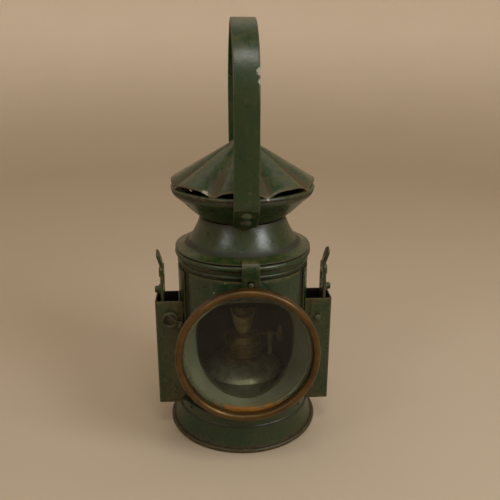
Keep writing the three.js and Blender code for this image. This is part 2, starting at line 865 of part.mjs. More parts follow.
const GALLERY_LINE = [
  [9.3, 44.5],
  [9.3, 50.3],
  [13, 50.3],
  [13, 52],
  [11, 53.4],
  [11, 57],
  [13.5, 58.4],
  [13.5, 60],
  [11.6, 61.5],
  [10.6, 65.8],
  [4.2, 66.6],
  [4.2, 65.6],
  [9.6, 64.8],
  [10.4, 61],
  [10, 54],
  [8.2, 52],
  [8.2, 44.5],
];
const gallery = cut(turned(GALLERY_LINE, BURNER_SIDES), onSpindle(2, 16, SPINDLE_R + GAP));
piece("burner_gallery", gallery, BRASS);

const TULIP_LINE = [
  [4.2, 67],
  [5.2, 67],
  [6.6, 72],
  [8.1, 79],
  [8.8, 85],
  [8, 85],
  [7.3, 79],
  [5.8, 72.4],
];
piece("burner_tulip", turned(TULIP_LINE, BURNER_SIDES), BRASS);
piece(
  "wick_tube",
  cut(
    flatRing(WICK_R + GAP, TUBE_R, 40, 73, 16),
    box(-2, 2, 2, 5, SPINDLE_Z - 4, SPINDLE_Z + 4),
  ),
  BRASS,
);
piece("wick", flatDisc(WICK_R, 24, 76, 12), COTTON);

function spurWheel() {
  const teeth = 10;
  const shape = new THREE.Shape();
  for (let i = 0; i < 2 * teeth; i++) {
    const radius = i % 2 ? 2.3 : 3.3;
    const angle = (Math.PI * (i + 0.5)) / teeth;
    const point = [radius * Math.cos(angle), radius * Math.sin(angle)];
    if (i) shape.lineTo(...point);
    else shape.moveTo(...point);
  }
  const outline = shape.getPoints().map((p) => [SPINDLE_Y + p.x, SPINDLE_Z + p.y]);
  return cut(alongX(outline, -1.5, 1.5), onSpindle(-3, 3, SPINDLE_R + GAP));
}

function wickKnob() {
  const flutes = 12;
  const grooves = [];
  for (let i = 0; i < flutes; i++) {
    const angle = (2 * Math.PI * i) / flutes;
    const y = SPINDLE_Y + KNOB_R * Math.cos(angle);
    const z = SPINDLE_Z + KNOB_R * Math.sin(angle);
    grooves.push(bar([KNOB_X - 1, y, z], [KNOB_X + 4, y, z], 0.5, 6));
  }
  const start = [KNOB_X, SPINDLE_Y, SPINDLE_Z];
  const disc = bar(start, [KNOB_X + 2.8, SPINDLE_Y, SPINDLE_Z], KNOB_R, 24);
  return cut(disc, onSpindle(KNOB_X - 1, KNOB_X + 1.8, SPINDLE_R + GAP), ...grooves);
}

piece("wick_spindle", onSpindle(-4, KNOB_X + 1.4, SPINDLE_R), BRASS);
piece("spur_wheel", spurWheel(), BRASS);
piece("wick_knob", wickKnob(), BRASS);

const POST_X = 20.5;
const post = bar([POST_X, SPINDLE_Y, 45.2], [POST_X, SPINDLE_Y, SPINDLE_Z + 2.4], 2.2, 12);
piece("spindle_post", post.subtract(onSpindle(POST_X - 4, POST_X + 4, SPINDLE_R + GAP)), TINPLATE);

export default lamp;
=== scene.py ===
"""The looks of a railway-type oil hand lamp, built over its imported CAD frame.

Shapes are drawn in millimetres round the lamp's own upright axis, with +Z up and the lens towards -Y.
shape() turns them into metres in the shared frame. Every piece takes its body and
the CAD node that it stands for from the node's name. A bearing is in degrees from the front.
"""

import json
import math

import bmesh
import bpy
import numpy as np
from mathutils import Matrix, Vector, noise


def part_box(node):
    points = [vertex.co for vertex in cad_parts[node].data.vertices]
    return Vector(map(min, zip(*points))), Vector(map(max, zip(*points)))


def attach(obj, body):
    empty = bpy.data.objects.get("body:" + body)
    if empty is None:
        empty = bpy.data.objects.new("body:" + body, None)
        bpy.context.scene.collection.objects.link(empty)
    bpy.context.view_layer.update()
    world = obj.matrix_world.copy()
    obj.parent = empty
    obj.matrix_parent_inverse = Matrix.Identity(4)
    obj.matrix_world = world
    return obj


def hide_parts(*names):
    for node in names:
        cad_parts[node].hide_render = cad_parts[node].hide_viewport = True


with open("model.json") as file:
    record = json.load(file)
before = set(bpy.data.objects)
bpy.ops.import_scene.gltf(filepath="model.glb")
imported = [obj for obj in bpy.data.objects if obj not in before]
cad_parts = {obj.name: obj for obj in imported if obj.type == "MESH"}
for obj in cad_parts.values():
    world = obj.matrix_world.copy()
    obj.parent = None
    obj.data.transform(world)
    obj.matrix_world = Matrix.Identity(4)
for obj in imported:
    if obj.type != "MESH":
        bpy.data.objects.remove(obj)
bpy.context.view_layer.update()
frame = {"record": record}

MM = 0.001
RECORD = frame["record"]
BODY_OF = {node: body for body, nodes in RECORD["behaviour"]["bodies"].items() for node in nodes}


def centre(node):
    low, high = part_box(node)
    return (low + high) / 2


AXIS = Vector((0, centre("body_shell").y, 0))  # the lamp's upright axis meets the ground here


# -------- dimensions, in millimetres
SHEET = 0.9
BODY_R = 44.4
PLATE_IN = 44.7
PLATE_OUT = 45.5
OVER_PLATE = 45.8
PLATES_LOW = 24.4
FRONT_PLATE_TOP = 122.8
SIDE_PLATE_TOP = 121.4
SIDE_PLATE_END = 112  # bearing
GROOVE = 59  # bearing of the bare stretch between two plates
GROOVE_HALF = 4.5

AIR_HOLES = [54, 90, 126, 162, 198, 234, 270, 306]  # bearings
AIR_HOLES_Z = 21.4
VENT_HOLES = [30, 60, 90, 120, 150, 210, 240, 270, 300, 330]

OPENING_HALF = 32.5
OPENING_LOW = 71.9
OPENING_SHOULDER = 88
OPENING_CROWN = 21

LENS_Z = 81.1
HOUSING_FRONT_Y = -64.5
HOUSING_BACK_Y = -25
HOUSING_FRONT_R = 43.8
HOUSING_BACK_R = 32.1

CAP_VALLEYS = [-115, -70, -25, 15.5, 57, 101, 148, 196, 245]  # bearings; the last is the first again
CAP_R = 48.2
CAP_APEX_Z = 209.8
CAP_RIDGE_DROP = 0.59  # per millimetre of radius
CAP_VALLEY_DEPTH = 3.6
VALLEY_SHARE = 0.11  # of a lobe's width, along its valleys' floors
LOBE_ROUNDNESS = 3.5

HASP_X = 2.7
HASP_HALF = 5.7

HANDLE_R = 50
HANDLE_CENTRE_Z = 230.8
HANDLE_END_ROUND = 5.5
HANDLE_HALF = 8
RIVET_SPOTS = {"lower": (-39.4, 160.1), "upper": (-45.4, 166.1)}

POCKET_X = 61.2
POCKET_LOW = 19.9
POCKET_TOP = 98.8
POCKET_ROUND = 1.3
POCKET_FRONT_Y = -17.6
POCKET_BACK_Y = 2.2
OVER_BAND = 47.5  # the pockets clear the foot's band by this radius, up to this height
BAND_TOP = 24.3
SLIDE_X = 55.2
SLIDE_Y = -7.7
SLIDE_HALF = 8
SLIDE_STUD_Z = 104.3

CATCH_X = -51.2
CATCH_Z = 85.3
PIVOT_X = -44.2
PIVOT_Z = 82.6
WIRE_Y = -20.95

SPINDLE_Y = 6.1
SPINDLE_Z = 61.3
SPINDLE_BORE = 1.2
KNOB_X = 26.7

HINGE_Y = 50.2
HINGE_Z = 131.4


# -------- lines and outlines
def outward(bearing):
    """The level direction of a bearing."""
    return math.sin(math.radians(bearing)), -math.cos(math.radians(bearing))


def arc(x, y, radius, start, end, steps=8):
    """Points on a round stretch, from one angle to another in degrees."""
    turns = np.radians(np.linspace(start, end, steps + 1))
    return [(x + radius * math.cos(t), y + radius * math.sin(t)) for t in turns]


def flowing(points, steps=5):
    """A smooth line through the points."""
    p = [np.array(q, float) for q in points]
    p = [2 * p[0] - p[1], *p, 2 * p[-1] - p[-2]]
    line = []
    for a, b, c, d in zip(p, p[1:], p[2:], p[3:]):
        square, cube = 2 * a - 5 * b + 4 * c - d, 3 * b - a - 3 * c + d
        for t in np.arange(steps) / steps:
            line.append(tuple((2 * b + (c - a) * t + square * t**2 + cube * t**3) / 2))
    return [*line, tuple(p[-2])]


def softened(points, radius=0.3, steps=3):
    """A closed outline with its corners rounded."""
    p = [np.array(q, float) for q in points]
    made = []
    for before, corner, after in zip([p[-1], *p[:-1]], p, [*p[1:], p[0]]):
        back, ahead = before - corner, after - corner
        back_length, ahead_length = np.linalg.norm(back), np.linalg.norm(ahead)
        turn = math.acos(np.clip(-back @ ahead / (back_length * ahead_length), -1, 1))
        if turn < math.radians(25):
            made.append(tuple(corner))
            continue
        reach = min(radius * math.tan(turn / 2), 0.45 * back_length, 0.45 * ahead_length)
        start = corner + back * reach / back_length
        end = corner + ahead * reach / ahead_length
        for t in np.linspace(0, 1, steps + 1):
            made.append(tuple((1 - t) ** 2 * start + 2 * t * (1 - t) * corner + t**2 * end))
    return made


def dense(points, step, closed=True):
    """The line with points added, so that none is further than step from the next."""
    ends = [*points[1:], points[0]] if closed else points[1:]
    made = []
    for a, b in zip(points, ends):
        count = max(1, math.ceil(math.dist(a, b) / step))
        for i in range(count):
            made.append(tuple(np.array(a) + (np.array(b) - np.array(a)) * i / count))
    return made if closed else [*made, points[-1]]


def moved_in(line, thickness):
    """The line moved sideways by the sheet's thickness, towards its right."""
    made = []
    for i, (x, y) in enumerate(line):
        ahead = np.array(line[min(i + 1, len(line) - 1)]) - np.array(line[max(i - 1, 0)])
        ahead = ahead / np.linalg.norm(ahead)
        made.append((x - thickness * ahead[1], y + thickness * ahead[0]))
    return made


def sheet(outer, thickness=SHEET):
    """The closed section of a sheet from its outer line."""
    return [*outer, *reversed(moved_in(outer, thickness))]


# -------- shapes
def linked(name, data):
    made = bpy.data.objects.new(name, data)
    bpy.context.scene.collection.objects.link(made)
    return made


def shape(name, points, faces):
    """An object whose points are in millimetres round the lamp's axis."""
    mesh = bpy.data.meshes.new(name)
    mesh.from_pydata([AXIS + Vector(p) * MM for p in points], [], faces)
    bm = bmesh.new()
    bm.from_mesh(mesh)
    bmesh.ops.remove_doubles(bm, verts=bm.verts, dist=0.002 * MM)
    bmesh.ops.recalc_face_normals(bm, faces=bm.faces)
    bm.to_mesh(mesh)
    bm.free()
    return linked(name, mesh)


def skin(name, rows, hollow=False):
    """A skin over rings of points. The first ring joins the last if hollow; if not, both are closed."""
    count = len(rows[0])
    faces = []
    for r in range(len(rows) if hollow else len(rows) - 1):
        a, b = r * count, (r + 1) % len(rows) * count
        for i in range(count):
            j = (i + 1) % count
            faces.append((a + i, a + j, b + j, b + i))
    if not hollow:
        faces.append(tuple(range(count)))
        faces.append(tuple((len(rows) - 1) * count + i for i in range(count)))
    return shape(name, [p for row in rows for p in row], faces)


def turned(name, profile, origin=(0, 0, 0), axis=(0, 0, 1), sides=128, step=5):
    """A profile of (radius, height) turned about an axis. It starts and ends on it, or is closed here."""
    on_axis = profile[0][0] == 0 and profile[-1][0] == 0
    line = dense(profile, step, closed=not on_axis)
    spin = Vector((0, 0, 1)).rotation_difference(Vector(axis)).to_matrix()
    start = Vector(origin)
    angles = [2 * math.pi * (i + 0.5) / sides for i in range(sides)]
    circle = [(math.cos(t), math.sin(t)) for t in angles]
    rows = [[start + spin @ Vector((r * c, r * s, z)) for c, s in circle] for r, z in line]
    if not on_axis:
        return skin(name, rows, hollow=True)
    return skin(name, rows[1:-1])


def prism(name, outline, low, high, along, rows=1):
    """A closed outline carried along X, Y or Z. Its points are the other two coordinates, in order."""
    where = {"X": lambda p, h: (h, *p), "Y": lambda p, h: (p[0], h, p[1]), "Z": lambda p, h: (*p, h)}[along]
    heights = np.linspace(low, high, rows + 1)
    return skin(name, [[where(p, h) for p in outline] for h in heights])


def block(name, x0, x1, y0, y1, z0, z1):
    return prism(name, [(x0, y0), (x1, y0), (x1, y1), (x0, y1)], z0, z1, "Z")


def rod(name, start, end, radius, sides=24):
    """A plain round bar, which the cuts are made with."""
    span = Vector(end) - Vector(start)
    profile = [(0, 0), (radius, 0), (radius, span.length), (0, span.length)]
    return turned(name, profile, start, span.normalized(), sides, step=math.inf)


def drum(radius, top=150):
    """What lies within a radius of the lamp's axis, for cuts."""
    return rod("drum", (0, 0, 0), (0, 0, top), radius, 192)


def tube(name, path, radius, sides=12):
    """A wire along a path, with closed ends."""
    points = [Vector(p) for p in path]
    rows = []
    side = None
    for i, p in enumerate(points):
        ahead = (points[min(i + 1, len(points) - 1)] - points[max(i - 1, 0)]).normalized()
        start = side if side else Vector((0, 1, 0)) if abs(ahead.y) < 0.9 else Vector((1, 0, 0))
        side = (start - ahead * start.dot(ahead)).normalized()
        other = ahead.cross(side)
        turns = [2 * math.pi * k / sides for k in range(sides)]
        rows.append([p + (side * math.cos(t) + other * math.sin(t)) * radius for t in turns])
    return skin(name, rows)


def keep_result(made):
    """Turns an object's modifiers into its mesh."""
    bpy.context.view_layer.update()
    evaluated = made.evaluated_get(bpy.context.evaluated_depsgraph_get())
    old = made.data
    made.data = bpy.data.meshes.new_from_object(evaluated)
    made.modifiers.clear()
    bpy.data.meshes.remove(old)
    return made


def carved(made, *tools, how="DIFFERENCE"):
    """Cuts the tools out of an object, joins them to it or keeps what they share."""
    for tool in tools:
        step = made.modifiers.new("carve", "BOOLEAN")
        step.operation = how
        step.solver = "EXACT"
        step.object = tool
    keep_result(made)
    for tool in tools:
        bpy.data.objects.remove(tool)
    return made


def eased(made, width=0.25, segments=2, angle=40):
    """Rounds an object's sharp edges."""
    step = made.modifiers.new("ease", "BEVEL")
    step.width = width * MM
    step.segments = segments
    step.limit_method = "ANGLE"
    step.angle_limit = math.radians(angle)
    step.use_clamp_overlap = True
    return keep_result(made)


def mirrored(made, name):
    """A copy on the lamp's other side."""
    twin = linked(name, made.data.copy())
    twin.data.transform(Matrix.Scale(-1, 4, (1, 0, 0)))
    twin.data.flip_normals()
    return twin


# -------- age
# Rings (radius, height, reach) and spots (x, y, z, reach) where dirt collects and where painted shade
# darkens the creases, recesses and gaps.
DIRT_AND_SHADE_RINGS = [
    (52.2, 3.4, 2.2),
    (48, 17, 1.6),
    (45.8, 24.2, 2.6),
    (45.2, 124.6, 1.8),
    (45, 128.8, 2.4),
    (46.2, 134, 1.4),
    (38.6, 138.4, 3.2),
    (29.4, 155.6, 3.6),
    (48.4, 174.4, 2),
]
DIRT_AND_SHADE_SPOTS = [
    (0, -42, 160.5, 5),
    (HASP_X, -49, 121, 4),
    (CATCH_X, -18, CATCH_Z, 7),
    (49.6, -18, 29.9, 3),
    (-49.6, -18, 29.9, 3),
    (51.2, -18, 85.3, 4),
]
# The groove between the plates is painted darker still: dirt and painted shade in the recess.
GROOVE_DIRT_AND_SHADE = 1.6
FULL_WEAR = 26  # an edge that turns this much or more, in degrees, is worn bare
DENT_SIZE = 21  # across one dent
DENT_DEPTH = 0.22


def lamp_points(made):
    """An object's points in millimetres round the lamp's axis, as rows."""
    points = np.zeros(len(made.data.vertices) * 3)
    made.data.vertices.foreach_get("co", points)
    return (points.reshape(-1, 3) - np.array(AXIS)) / MM


def dented(made, depth=DENT_DEPTH):
    """Old sheet metal is never quite true: each point moves in towards the axis by up to the depth."""
    for vertex in made.data.vertices:
        out = Vector((vertex.co.x - AXIS.x, vertex.co.y - AXIS.y, 0))
        share = 0.5 + 0.5 * noise.noise(vertex.co / MM / DENT_SIZE)
        if out.length > MM:
            vertex.co -= out.normalized() * share * depth * MM
    made.data.update()
    return made


def store(made, name, values):
    layer = made.data.attributes.new(name, "FLOAT", "POINT")
    layer.data.foreach_set("value", np.asarray(values, np.float32))


def sharpness(made):
    """How strongly each point stands out as an outer edge, from 0 to 1."""
    bm = bmesh.new()
    bm.from_mesh(made.data)
    full = math.radians(FULL_WEAR)
    values = []
    for vertex in bm.verts:
        turns = [e.calc_face_angle_signed(0) for e in vertex.link_edges if len(e.link_faces) == 2]
        values.append(min(1, max(0, max(turns, default=0)) / full))
    bm.free()
    return values


def aged(made, rust=None):
    """Stores how dirty and how darkened by painted shade in creases and the groove, how worn and how rusty
    each point is. rust is a function of the points, if there is one.
    """
    points = lamp_points(made)
    radius = np.hypot(points[:, 0], points[:, 1])
    dirt_and_shade = np.zeros(len(points))
    for r, z, reach in DIRT_AND_SHADE_RINGS:
        away = np.hypot(radius - r, points[:, 2] - z)
        dirt_and_shade = np.maximum(dirt_and_shade, np.exp(-((away / reach) ** 2)))
    for x, y, z, reach in DIRT_AND_SHADE_SPOTS:
        away = np.linalg.norm(points - (x, y, z), axis=1)
        dirt_and_shade = np.maximum(dirt_and_shade, 0.8 * np.exp(-((away / reach) ** 2)))
    bearing = np.degrees(np.abs(np.arctan2(points[:, 0], -points[:, 1])))
    in_groove = np.abs(bearing - GROOVE) < GROOVE_HALF + 1
    in_groove &= (radius < PLATE_IN) & (radius > BODY_R - 0.5) & (points[:, 2] < 122)
    store(made, "dirt_and_shade", np.where(in_groove, GROOVE_DIRT_AND_SHADE, dirt_and_shade))
    store(made, "wear", sharpness(made))
    store(made, "rust", rust(points) if rust else np.zeros(len(points)))


# -------- materials
def tone(r, g, b):
    """A colour from its screen values, 0 to 255."""
    screen = [c / 255 for c in (r, g, b)]
    return (*[c / 12.92 if c <= 0.04045 else ((c + 0.055) / 1.055) ** 2.4 for c in screen], 1)


class Recipe:
    """A material put together from nodes. Sizes are in millimetres."""

    def __init__(self, name, **sockets):
        self.material = bpy.data.materials.new(name)
        self.material.use_nodes = True
        self.tree = self.material.node_tree
        self.shader = self.tree.nodes["Principled BSDF"]
        for socket, value in sockets.items():
            self.shader.inputs[socket.replace("_", " ")].default_value = value
        self.place = self.node("TexCoord").outputs["Object"]

    def node(self, kind, inputs=None, **settings):
        """A new node. inputs gives its sockets their values, or the sockets that they are joined to."""
        made = self.tree.nodes.new("ShaderNode" + kind)
        for setting, value in settings.items():
            setattr(made, setting, value)
        self.feed(made, inputs or {})
        return made

    def feed(self, node, inputs):
        for socket, value in inputs.items():
            if isinstance(value, bpy.types.NodeSocket):
                self.tree.links.new(value, node.inputs[socket])
            else:
                node.inputs[socket].default_value = value

    def maths(self, operation, *values):
        return self.node("Math", dict(enumerate(values)), operation=operation).outputs[0]

    def noise(self, size, detail=3, stretch=(1, 1, 1), shift=0):
        """A cloudy pattern whose features are about that size, drawn out along an axis by stretch."""
        squeeze = {"Location": [shift] * 3, "Scale": [1 / s for s in stretch], "Vector": self.place}
        place = self.node("Mapping", squeeze).outputs[0]
        clouds = {"Vector": place, "Scale": 1 / (size * MM), "Detail": detail, "Roughness": 0.55}
        return self.node("TexNoise", clouds).outputs["Fac"]

    def ranged(self, value, side, low, high, **settings):
        inputs = {"Value": value, side + " Min": low, side + " Max": high}
        return self.node("MapRange", inputs, **settings).outputs["Result"]

    def between(self, value, low, high):
        """0 below low and 1 above high, smoothly."""
        return self.ranged(value, "From", low, high, interpolation_type="SMOOTHSTEP")

    def scaled(self, value, low, high):
        """A value from 0 to 1 brought to another range."""
        return self.ranged(value, "To", low, high)

    def mix(self, share, a, b):
        return self.node("Mix", {"Factor": share, 6: a, 7: b}, data_type="RGBA").outputs[2]

    def tinted(self, colour, share, most, tint):
        """The colour with up to that much of another, where share is 1."""
        return self.mix(self.scaled(share, 0, most), colour, tint)

    def patchy(self, amount, pattern, low, high, start, full):
        """An amount broken up by a pattern: 0 where the sum is below start and 1 where it is above full."""
        return self.between(self.maths("ADD", amount, self.scaled(pattern, low, high)), start, full)

    def stored(self, name):
        """What aged() stored at each point."""
        return self.node("Attribute", attribute_name=name).outputs["Fac"]

    def part_of(self, vector, axis):
        """One coordinate of a vector: X, Y or Z."""
        return self.node("SeparateXYZ", {0: vector}).outputs[axis]

    def near(self, spot, reach):
        """1 within reach of a spot, given in millimetres round the lamp's axis, and 0 a little outside."""
        ends = {0: self.place, 1: AXIS + Vector(spot) * MM}
        away = self.node("VectorMath", ends, operation="DISTANCE").outputs["Value"]
        size = reach * MM
        ragged = self.maths("MULTIPLY_ADD", self.noise(1.6, 4), size * 1.4, size * -0.7)
        return self.between(self.maths("ADD", away, ragged), size, size * 0.8)

    def finish(self, colour, roughness, height, depth):
        """Joins colour, roughness and a bump of that depth to the shader."""
        bump = self.node("Bump", {"Distance": depth * MM, "Height": height}).outputs["Normal"]
        self.feed(self.shader, {"Base Color": colour, "Roughness": roughness, "Normal": bump})
        return self.material


# Places where the paint has chipped off to pale metal: (x, y, z, reach).
CHIPS = [
    (-25.3, -40.7, 179.6, 2.2),
    (13.2, -46.6, 176.6, 1.2),
    (-20.7, -40.5, 113.9, 0.6),
    (-13.8, -43.3, 121.6, 0.5),
    (7.9, -46.6, 251, 2.6),
    (7.9, -48.9, 245.4, 1.8),
]
# The first colour is the dark of grime and of painted shade in creases and gaps.
GRIME_AND_SHADE = tone(27, 25, 13)
OLD_RUST = tone(46, 38, 16)
PRIMER = tone(58, 48, 24)
RUBBED_METAL = tone(100, 86, 48)
CHIPPED_METAL = tone(146, 143, 126)


def enamel(name, deep, olive, dust_and_sheen, rusty):
    r = Recipe(name, Metallic=0.0, IOR=1.5)
    dirt_and_shade, wear, rust = r.stored("dirt_and_shade"), r.stored("wear"), r.stored("rust")
    clouds = r.noise(30, 4)
    mottle = r.noise(5, 5, shift=3)
    grain = r.noise(0.9, 3, shift=5)
    runs = r.noise(3.2, 4, stretch=(1, 1, 7), shift=7)
    colour = r.mix(r.between(clouds, 0.36, 0.64), deep, olive)
    colour = r.tinted(colour, r.between(runs, 0.55, 0.75), 0.35, dust_and_sheen)
    # Upward faces paler: settled dust, and a painted reflection of the light from above.
    up = r.part_of(r.node("NewGeometry").outputs["Normal"], "Z")
    dust_and_top_sheen = r.maths("MULTIPLY", r.between(up, 0.25, 0.95), r.between(mottle, 0.35, 0.7))
    colour = r.tinted(colour, dust_and_top_sheen, 0.65, dust_and_sheen)
    # Darker in creases, gaps and round studs and rivets: grime and painted shade.
    grime_and_shade = r.patchy(dirt_and_shade, mottle, -0.55, 0.45, 0.25, 0.95)
    colour = r.tinted(colour, grime_and_shade, 0.75, GRIME_AND_SHADE)
    rusted = r.patchy(rust, r.noise(3.4, 5, shift=9), -1.1, 0.7, 0.12, 0.6)
    colour = r.tinted(colour, rusted, 0.75, r.mix(mottle, rusty, OLD_RUST))
    rubbed = r.patchy(wear, r.noise(2.6, 5, shift=11), -1.35, 0.75, 0.15, 0.7)
    colour = r.tinted(colour, rubbed, 0.7, r.mix(grain, PRIMER, RUBBED_METAL))
    chipped = r.between(r.noise(1.5, 2, shift=13), 0.79, 0.83)
    for *spot, reach in CHIPS:
        chipped = r.maths("MAXIMUM", chipped, r.near(spot, reach))
    colour = r.mix(chipped, colour, CHIPPED_METAL)
    dull = r.maths("MAXIMUM", r.maths("MAXIMUM", grime_and_shade, rusted), r.maths("MAXIMUM", rubbed, chipped))
    gloss = r.maths("ADD", r.scaled(mottle, 0.2, 0.38), r.scaled(dull, 0, 0.28))
    paint = r.maths("ADD", r.scaled(clouds, 0, 1.3), r.scaled(mottle, 0, 0.3))
    height = r.maths("SUBTRACT", r.maths("ADD", paint, r.scaled(grain, 0, 0.16)), r.scaled(dull, 0, 0.12))
    return r.finish(colour, gloss, height, 0.3)


# Dark inside paint: soot, and painted shade inside the closed lamp, down the vent holes, in the deep
# pockets and under the cap.
def soot_and_shade():
    r = Recipe("soot_and_shade_inside", Metallic=0.1)
    clouds = r.noise(16, 5)
    streaks = r.noise(4, 4, stretch=(1, 1, 6), shift=2)
    colour = r.mix(r.between(clouds, 0.35, 0.65), tone(18, 13, 7), tone(38, 28, 16))
    colour = r.mix(r.between(streaks, 0.5, 0.75), colour, tone(52, 42, 28))
    return r.finish(colour, r.scaled(clouds, 0.45, 0.7), streaks, 0.15)


def pale_paint():
    r = Recipe("pale_paint")
    clouds = r.noise(14, 5)
    fine = r.noise(2.5, 5, shift=4)
    colour = r.mix(r.between(clouds, 0.3, 0.7), tone(113, 114, 93), tone(99, 97, 75))
    colour = r.tinted(colour, r.between(fine, 0.55, 0.75), 0.35, tone(70, 64, 40))
    stain = r.patchy(r.stored("rust"), r.noise(4, 4, shift=6), -0.8, 0.5, 0.05, 0.5)
    colour = r.mix(stain, colour, r.mix(fine, tone(150, 92, 10), tone(112, 72, 20)))
    return r.finish(colour, r.scaled(fine, 0.4, 0.6), fine, 0.08)


def brass(name, bright, dark, metallic, roughness):
    r = Recipe(name, Metallic=metallic)
    clouds = r.noise(9, 5)
    fine = r.noise(1.4, 5, shift=4)
    colour = r.mix(r.between(clouds, 0.35, 0.68), bright, dark)
    colour = r.tinted(colour, r.between(fine, 0.5, 0.75), 0.5, dark)
    # Lighter on sharp edges: rubbed brass, and a painted highlight along the edges.
    colour = r.tinted(colour, r.stored("wear"), 0.22, tone(190, 146, 84))
    # Darker where dirt collects and where painted shade falls in the creases.
    colour = r.tinted(colour, r.stored("dirt_and_shade"), 0.6, tone(34, 24, 12))
    return r.finish(colour, r.scaled(clouds, roughness, roughness + 0.22), fine, 0.1)


def bare_metal(name, light, dark, metallic, roughness):
    r = Recipe(name, Metallic=metallic)
    clouds = r.noise(7, 5)
    fine = r.noise(1.1, 4, shift=4)
    colour = r.mix(r.between(clouds, 0.35, 0.65), light, dark)
    colour = r.tinted(colour, r.between(fine, 0.52, 0.72), 0.6, tone(92, 66, 38))
    return r.finish(colour, r.scaled(fine, roughness, roughness + 0.25), fine, 0.1)


def clear_glass():
    """Glass that lets the lamps' light through to what is behind it."""
    r = Recipe("lens_glass", IOR=1.28, Transmission_Weight=1.0)
    smears = r.noise(12, 4)
    colour = r.mix(smears, tone(244, 247, 243), tone(232, 234, 222))
    blurred = r.scaled(r.between(smears, 0.4, 0.8), 0.01, 0.09)
    r.feed(r.shader, {"Base Color": colour, "Roughness": blurred})
    through = r.node("BsdfTransparent", {"Color": tone(240, 242, 238)}).outputs[0]
    lamp_ray = r.node("LightPath").outputs["Is Shadow Ray"]
    pick = r.node("MixShader", {0: lamp_ray, 1: r.shader.outputs[0], 2: through}).outputs[0]
    r.feed(r.tree.nodes["Material Output"], {"Surface": pick})
    return r.material


def old_putty():
    r = Recipe("old_putty")
    lumps = r.noise(2.2, 5)
    colour = r.mix(r.between(lumps, 0.35, 0.7), tone(96, 96, 72), tone(74, 68, 44))
    stain = r.patchy(r.stored("rust"), r.noise(5, 4, shift=6), -1.1, 0.5, 0.1, 0.4)
    colour = r.mix(stain, colour, tone(142, 86, 10))
    return r.finish(colour, r.scaled(lumps, 0.6, 0.85), lumps, 0.4)


def cotton():
    r = Recipe("wick_cotton", Roughness=0.95, Sheen_Weight=0.3)
    threads = r.noise(0.5, 3, stretch=(1, 1, 5))
    charred = r.between(r.part_of(r.place, "Z"), 72 * MM, 75 * MM)
    colour = r.mix(threads, tone(150, 140, 112), tone(96, 86, 62))
    return r.finish(r.mix(charred, colour, tone(18, 15, 12)), r.scaled(threads, 0.85, 1), threads, 0.2)


ENAMEL = enamel("green_enamel", tone(22, 48, 22), tone(38, 52, 22), tone(72, 72, 34), tone(84, 60, 16))
# A paler copy of the green enamel for the domed handle rivets: painted light for the light their heads
# catch.
LIT_RIVET_PAINT = enamel("lit_rivet_paint", tone(48, 68, 44), tone(62, 74, 46), tone(98, 100, 70), tone(80, 54, 20))
DARK_INSIDE = soot_and_shade()
PALE = pale_paint()
BEZEL_BRASS = brass("bezel_brass", tone(76, 54, 17), tone(42, 28, 9), 0.6, 0.24)
BURNER_BRASS = brass("burner_brass", tone(138, 122, 76), tone(86, 72, 40), 0.5, 0.35)
TULIP_BRASS = brass("tulip_brass", tone(198, 182, 122), tone(142, 124, 74), 0.4, 0.38)
STEEL = bare_metal("worn_steel", tone(84, 84, 64), tone(50, 50, 34), 0.4, 0.42)
TINPLATE = bare_metal("dull_tinplate", tone(170, 170, 144), tone(142, 139, 112), 0.6, 0.22)
GLASS = clear_glass()
PUTTY = old_putty()
COTTON = cotton()


# -------- pieces
def piece(node, made, materials, pick=None, rust=None, smooth=38):
    """Finishes a shape as the visual piece of a CAD node. pick says which material a face takes."""
    made.name = node + "_fine"
    aged(made, rust)
    made.data.materials.clear()
    for material in materials:
        made.data.materials.append(material)
    if pick:
        for face in made.data.polygons:
            face.material_index = pick(Vector((face.center - AXIS) / MM), face.normal)
    made.data.shade_smooth()
    made.data.set_sharp_from_angle(angle=math.radians(smooth))
    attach(made, BODY_OF[node])
    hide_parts(node)
    return made


def pair(node, made, materials, **how):
    """A piece drawn on the right and the same piece on the left."""
    twin = mirrored(made, node)
    piece(node + "_right", made, materials, **how)
    piece(node + "_left", twin, materials, **how)


def faces_inward(place, normal):
    """1 for a face that looks towards the lamp's axis."""
    return 1 if normal.x * place.x + normal.y * place.y < -0.3 * math.hypot(place.x, place.y) else 0


# -------- base
def base_skirt():
    band = [(44.8, 24), (46.6, 24), (47.2, 23.4), (47.2, 17.8), (47.8, 17.2), (48.1, 16)]
    outer = [*band, *flowing([(48.3, 14.2), (48.9, 11), (50, 7), (51.3, 3.9)], 4)]
    rolled = arc(52.4, 1.6, 1.6, 118, -205, 22)
    profile = softened([*outer, *rolled, *reversed(moved_in(outer, -SHEET))], 0.25)
    made = turned("skirt", profile, sides=180, step=3)
    holes = []
    for x, y in map(outward, AIR_HOLES):
        holes.append(rod("hole", (44 * x, 44 * y, AIR_HOLES_Z), (49 * x, 49 * y, AIR_HOLES_Z), 1.3))
    return dented(carved(made, *holes))


def near_foot(points):
    """Rust at the foot's rolled rim and in the crease over it."""
    return 0.85 * np.exp(-((points[:, 2] / 5) ** 2))


piece("base_skirt", base_skirt(), [ENAMEL], rust=near_foot)

floor_line = [(0, 17.5), (43.2, 17.5), (43.2, 23), (42.3, 23), (42.3, 18.4), (0, 18.4)]
piece("base_floor", turned("floor", floor_line), [TINPLATE])
socket_line = [(28.6, 18.7), (31.2, 18.7), (31.2, 19.6), (29.4, 19.6), (29.4, 26), (28.6, 26)]
piece("fount_socket", turned("socket", softened(socket_line)), [TINPLATE])


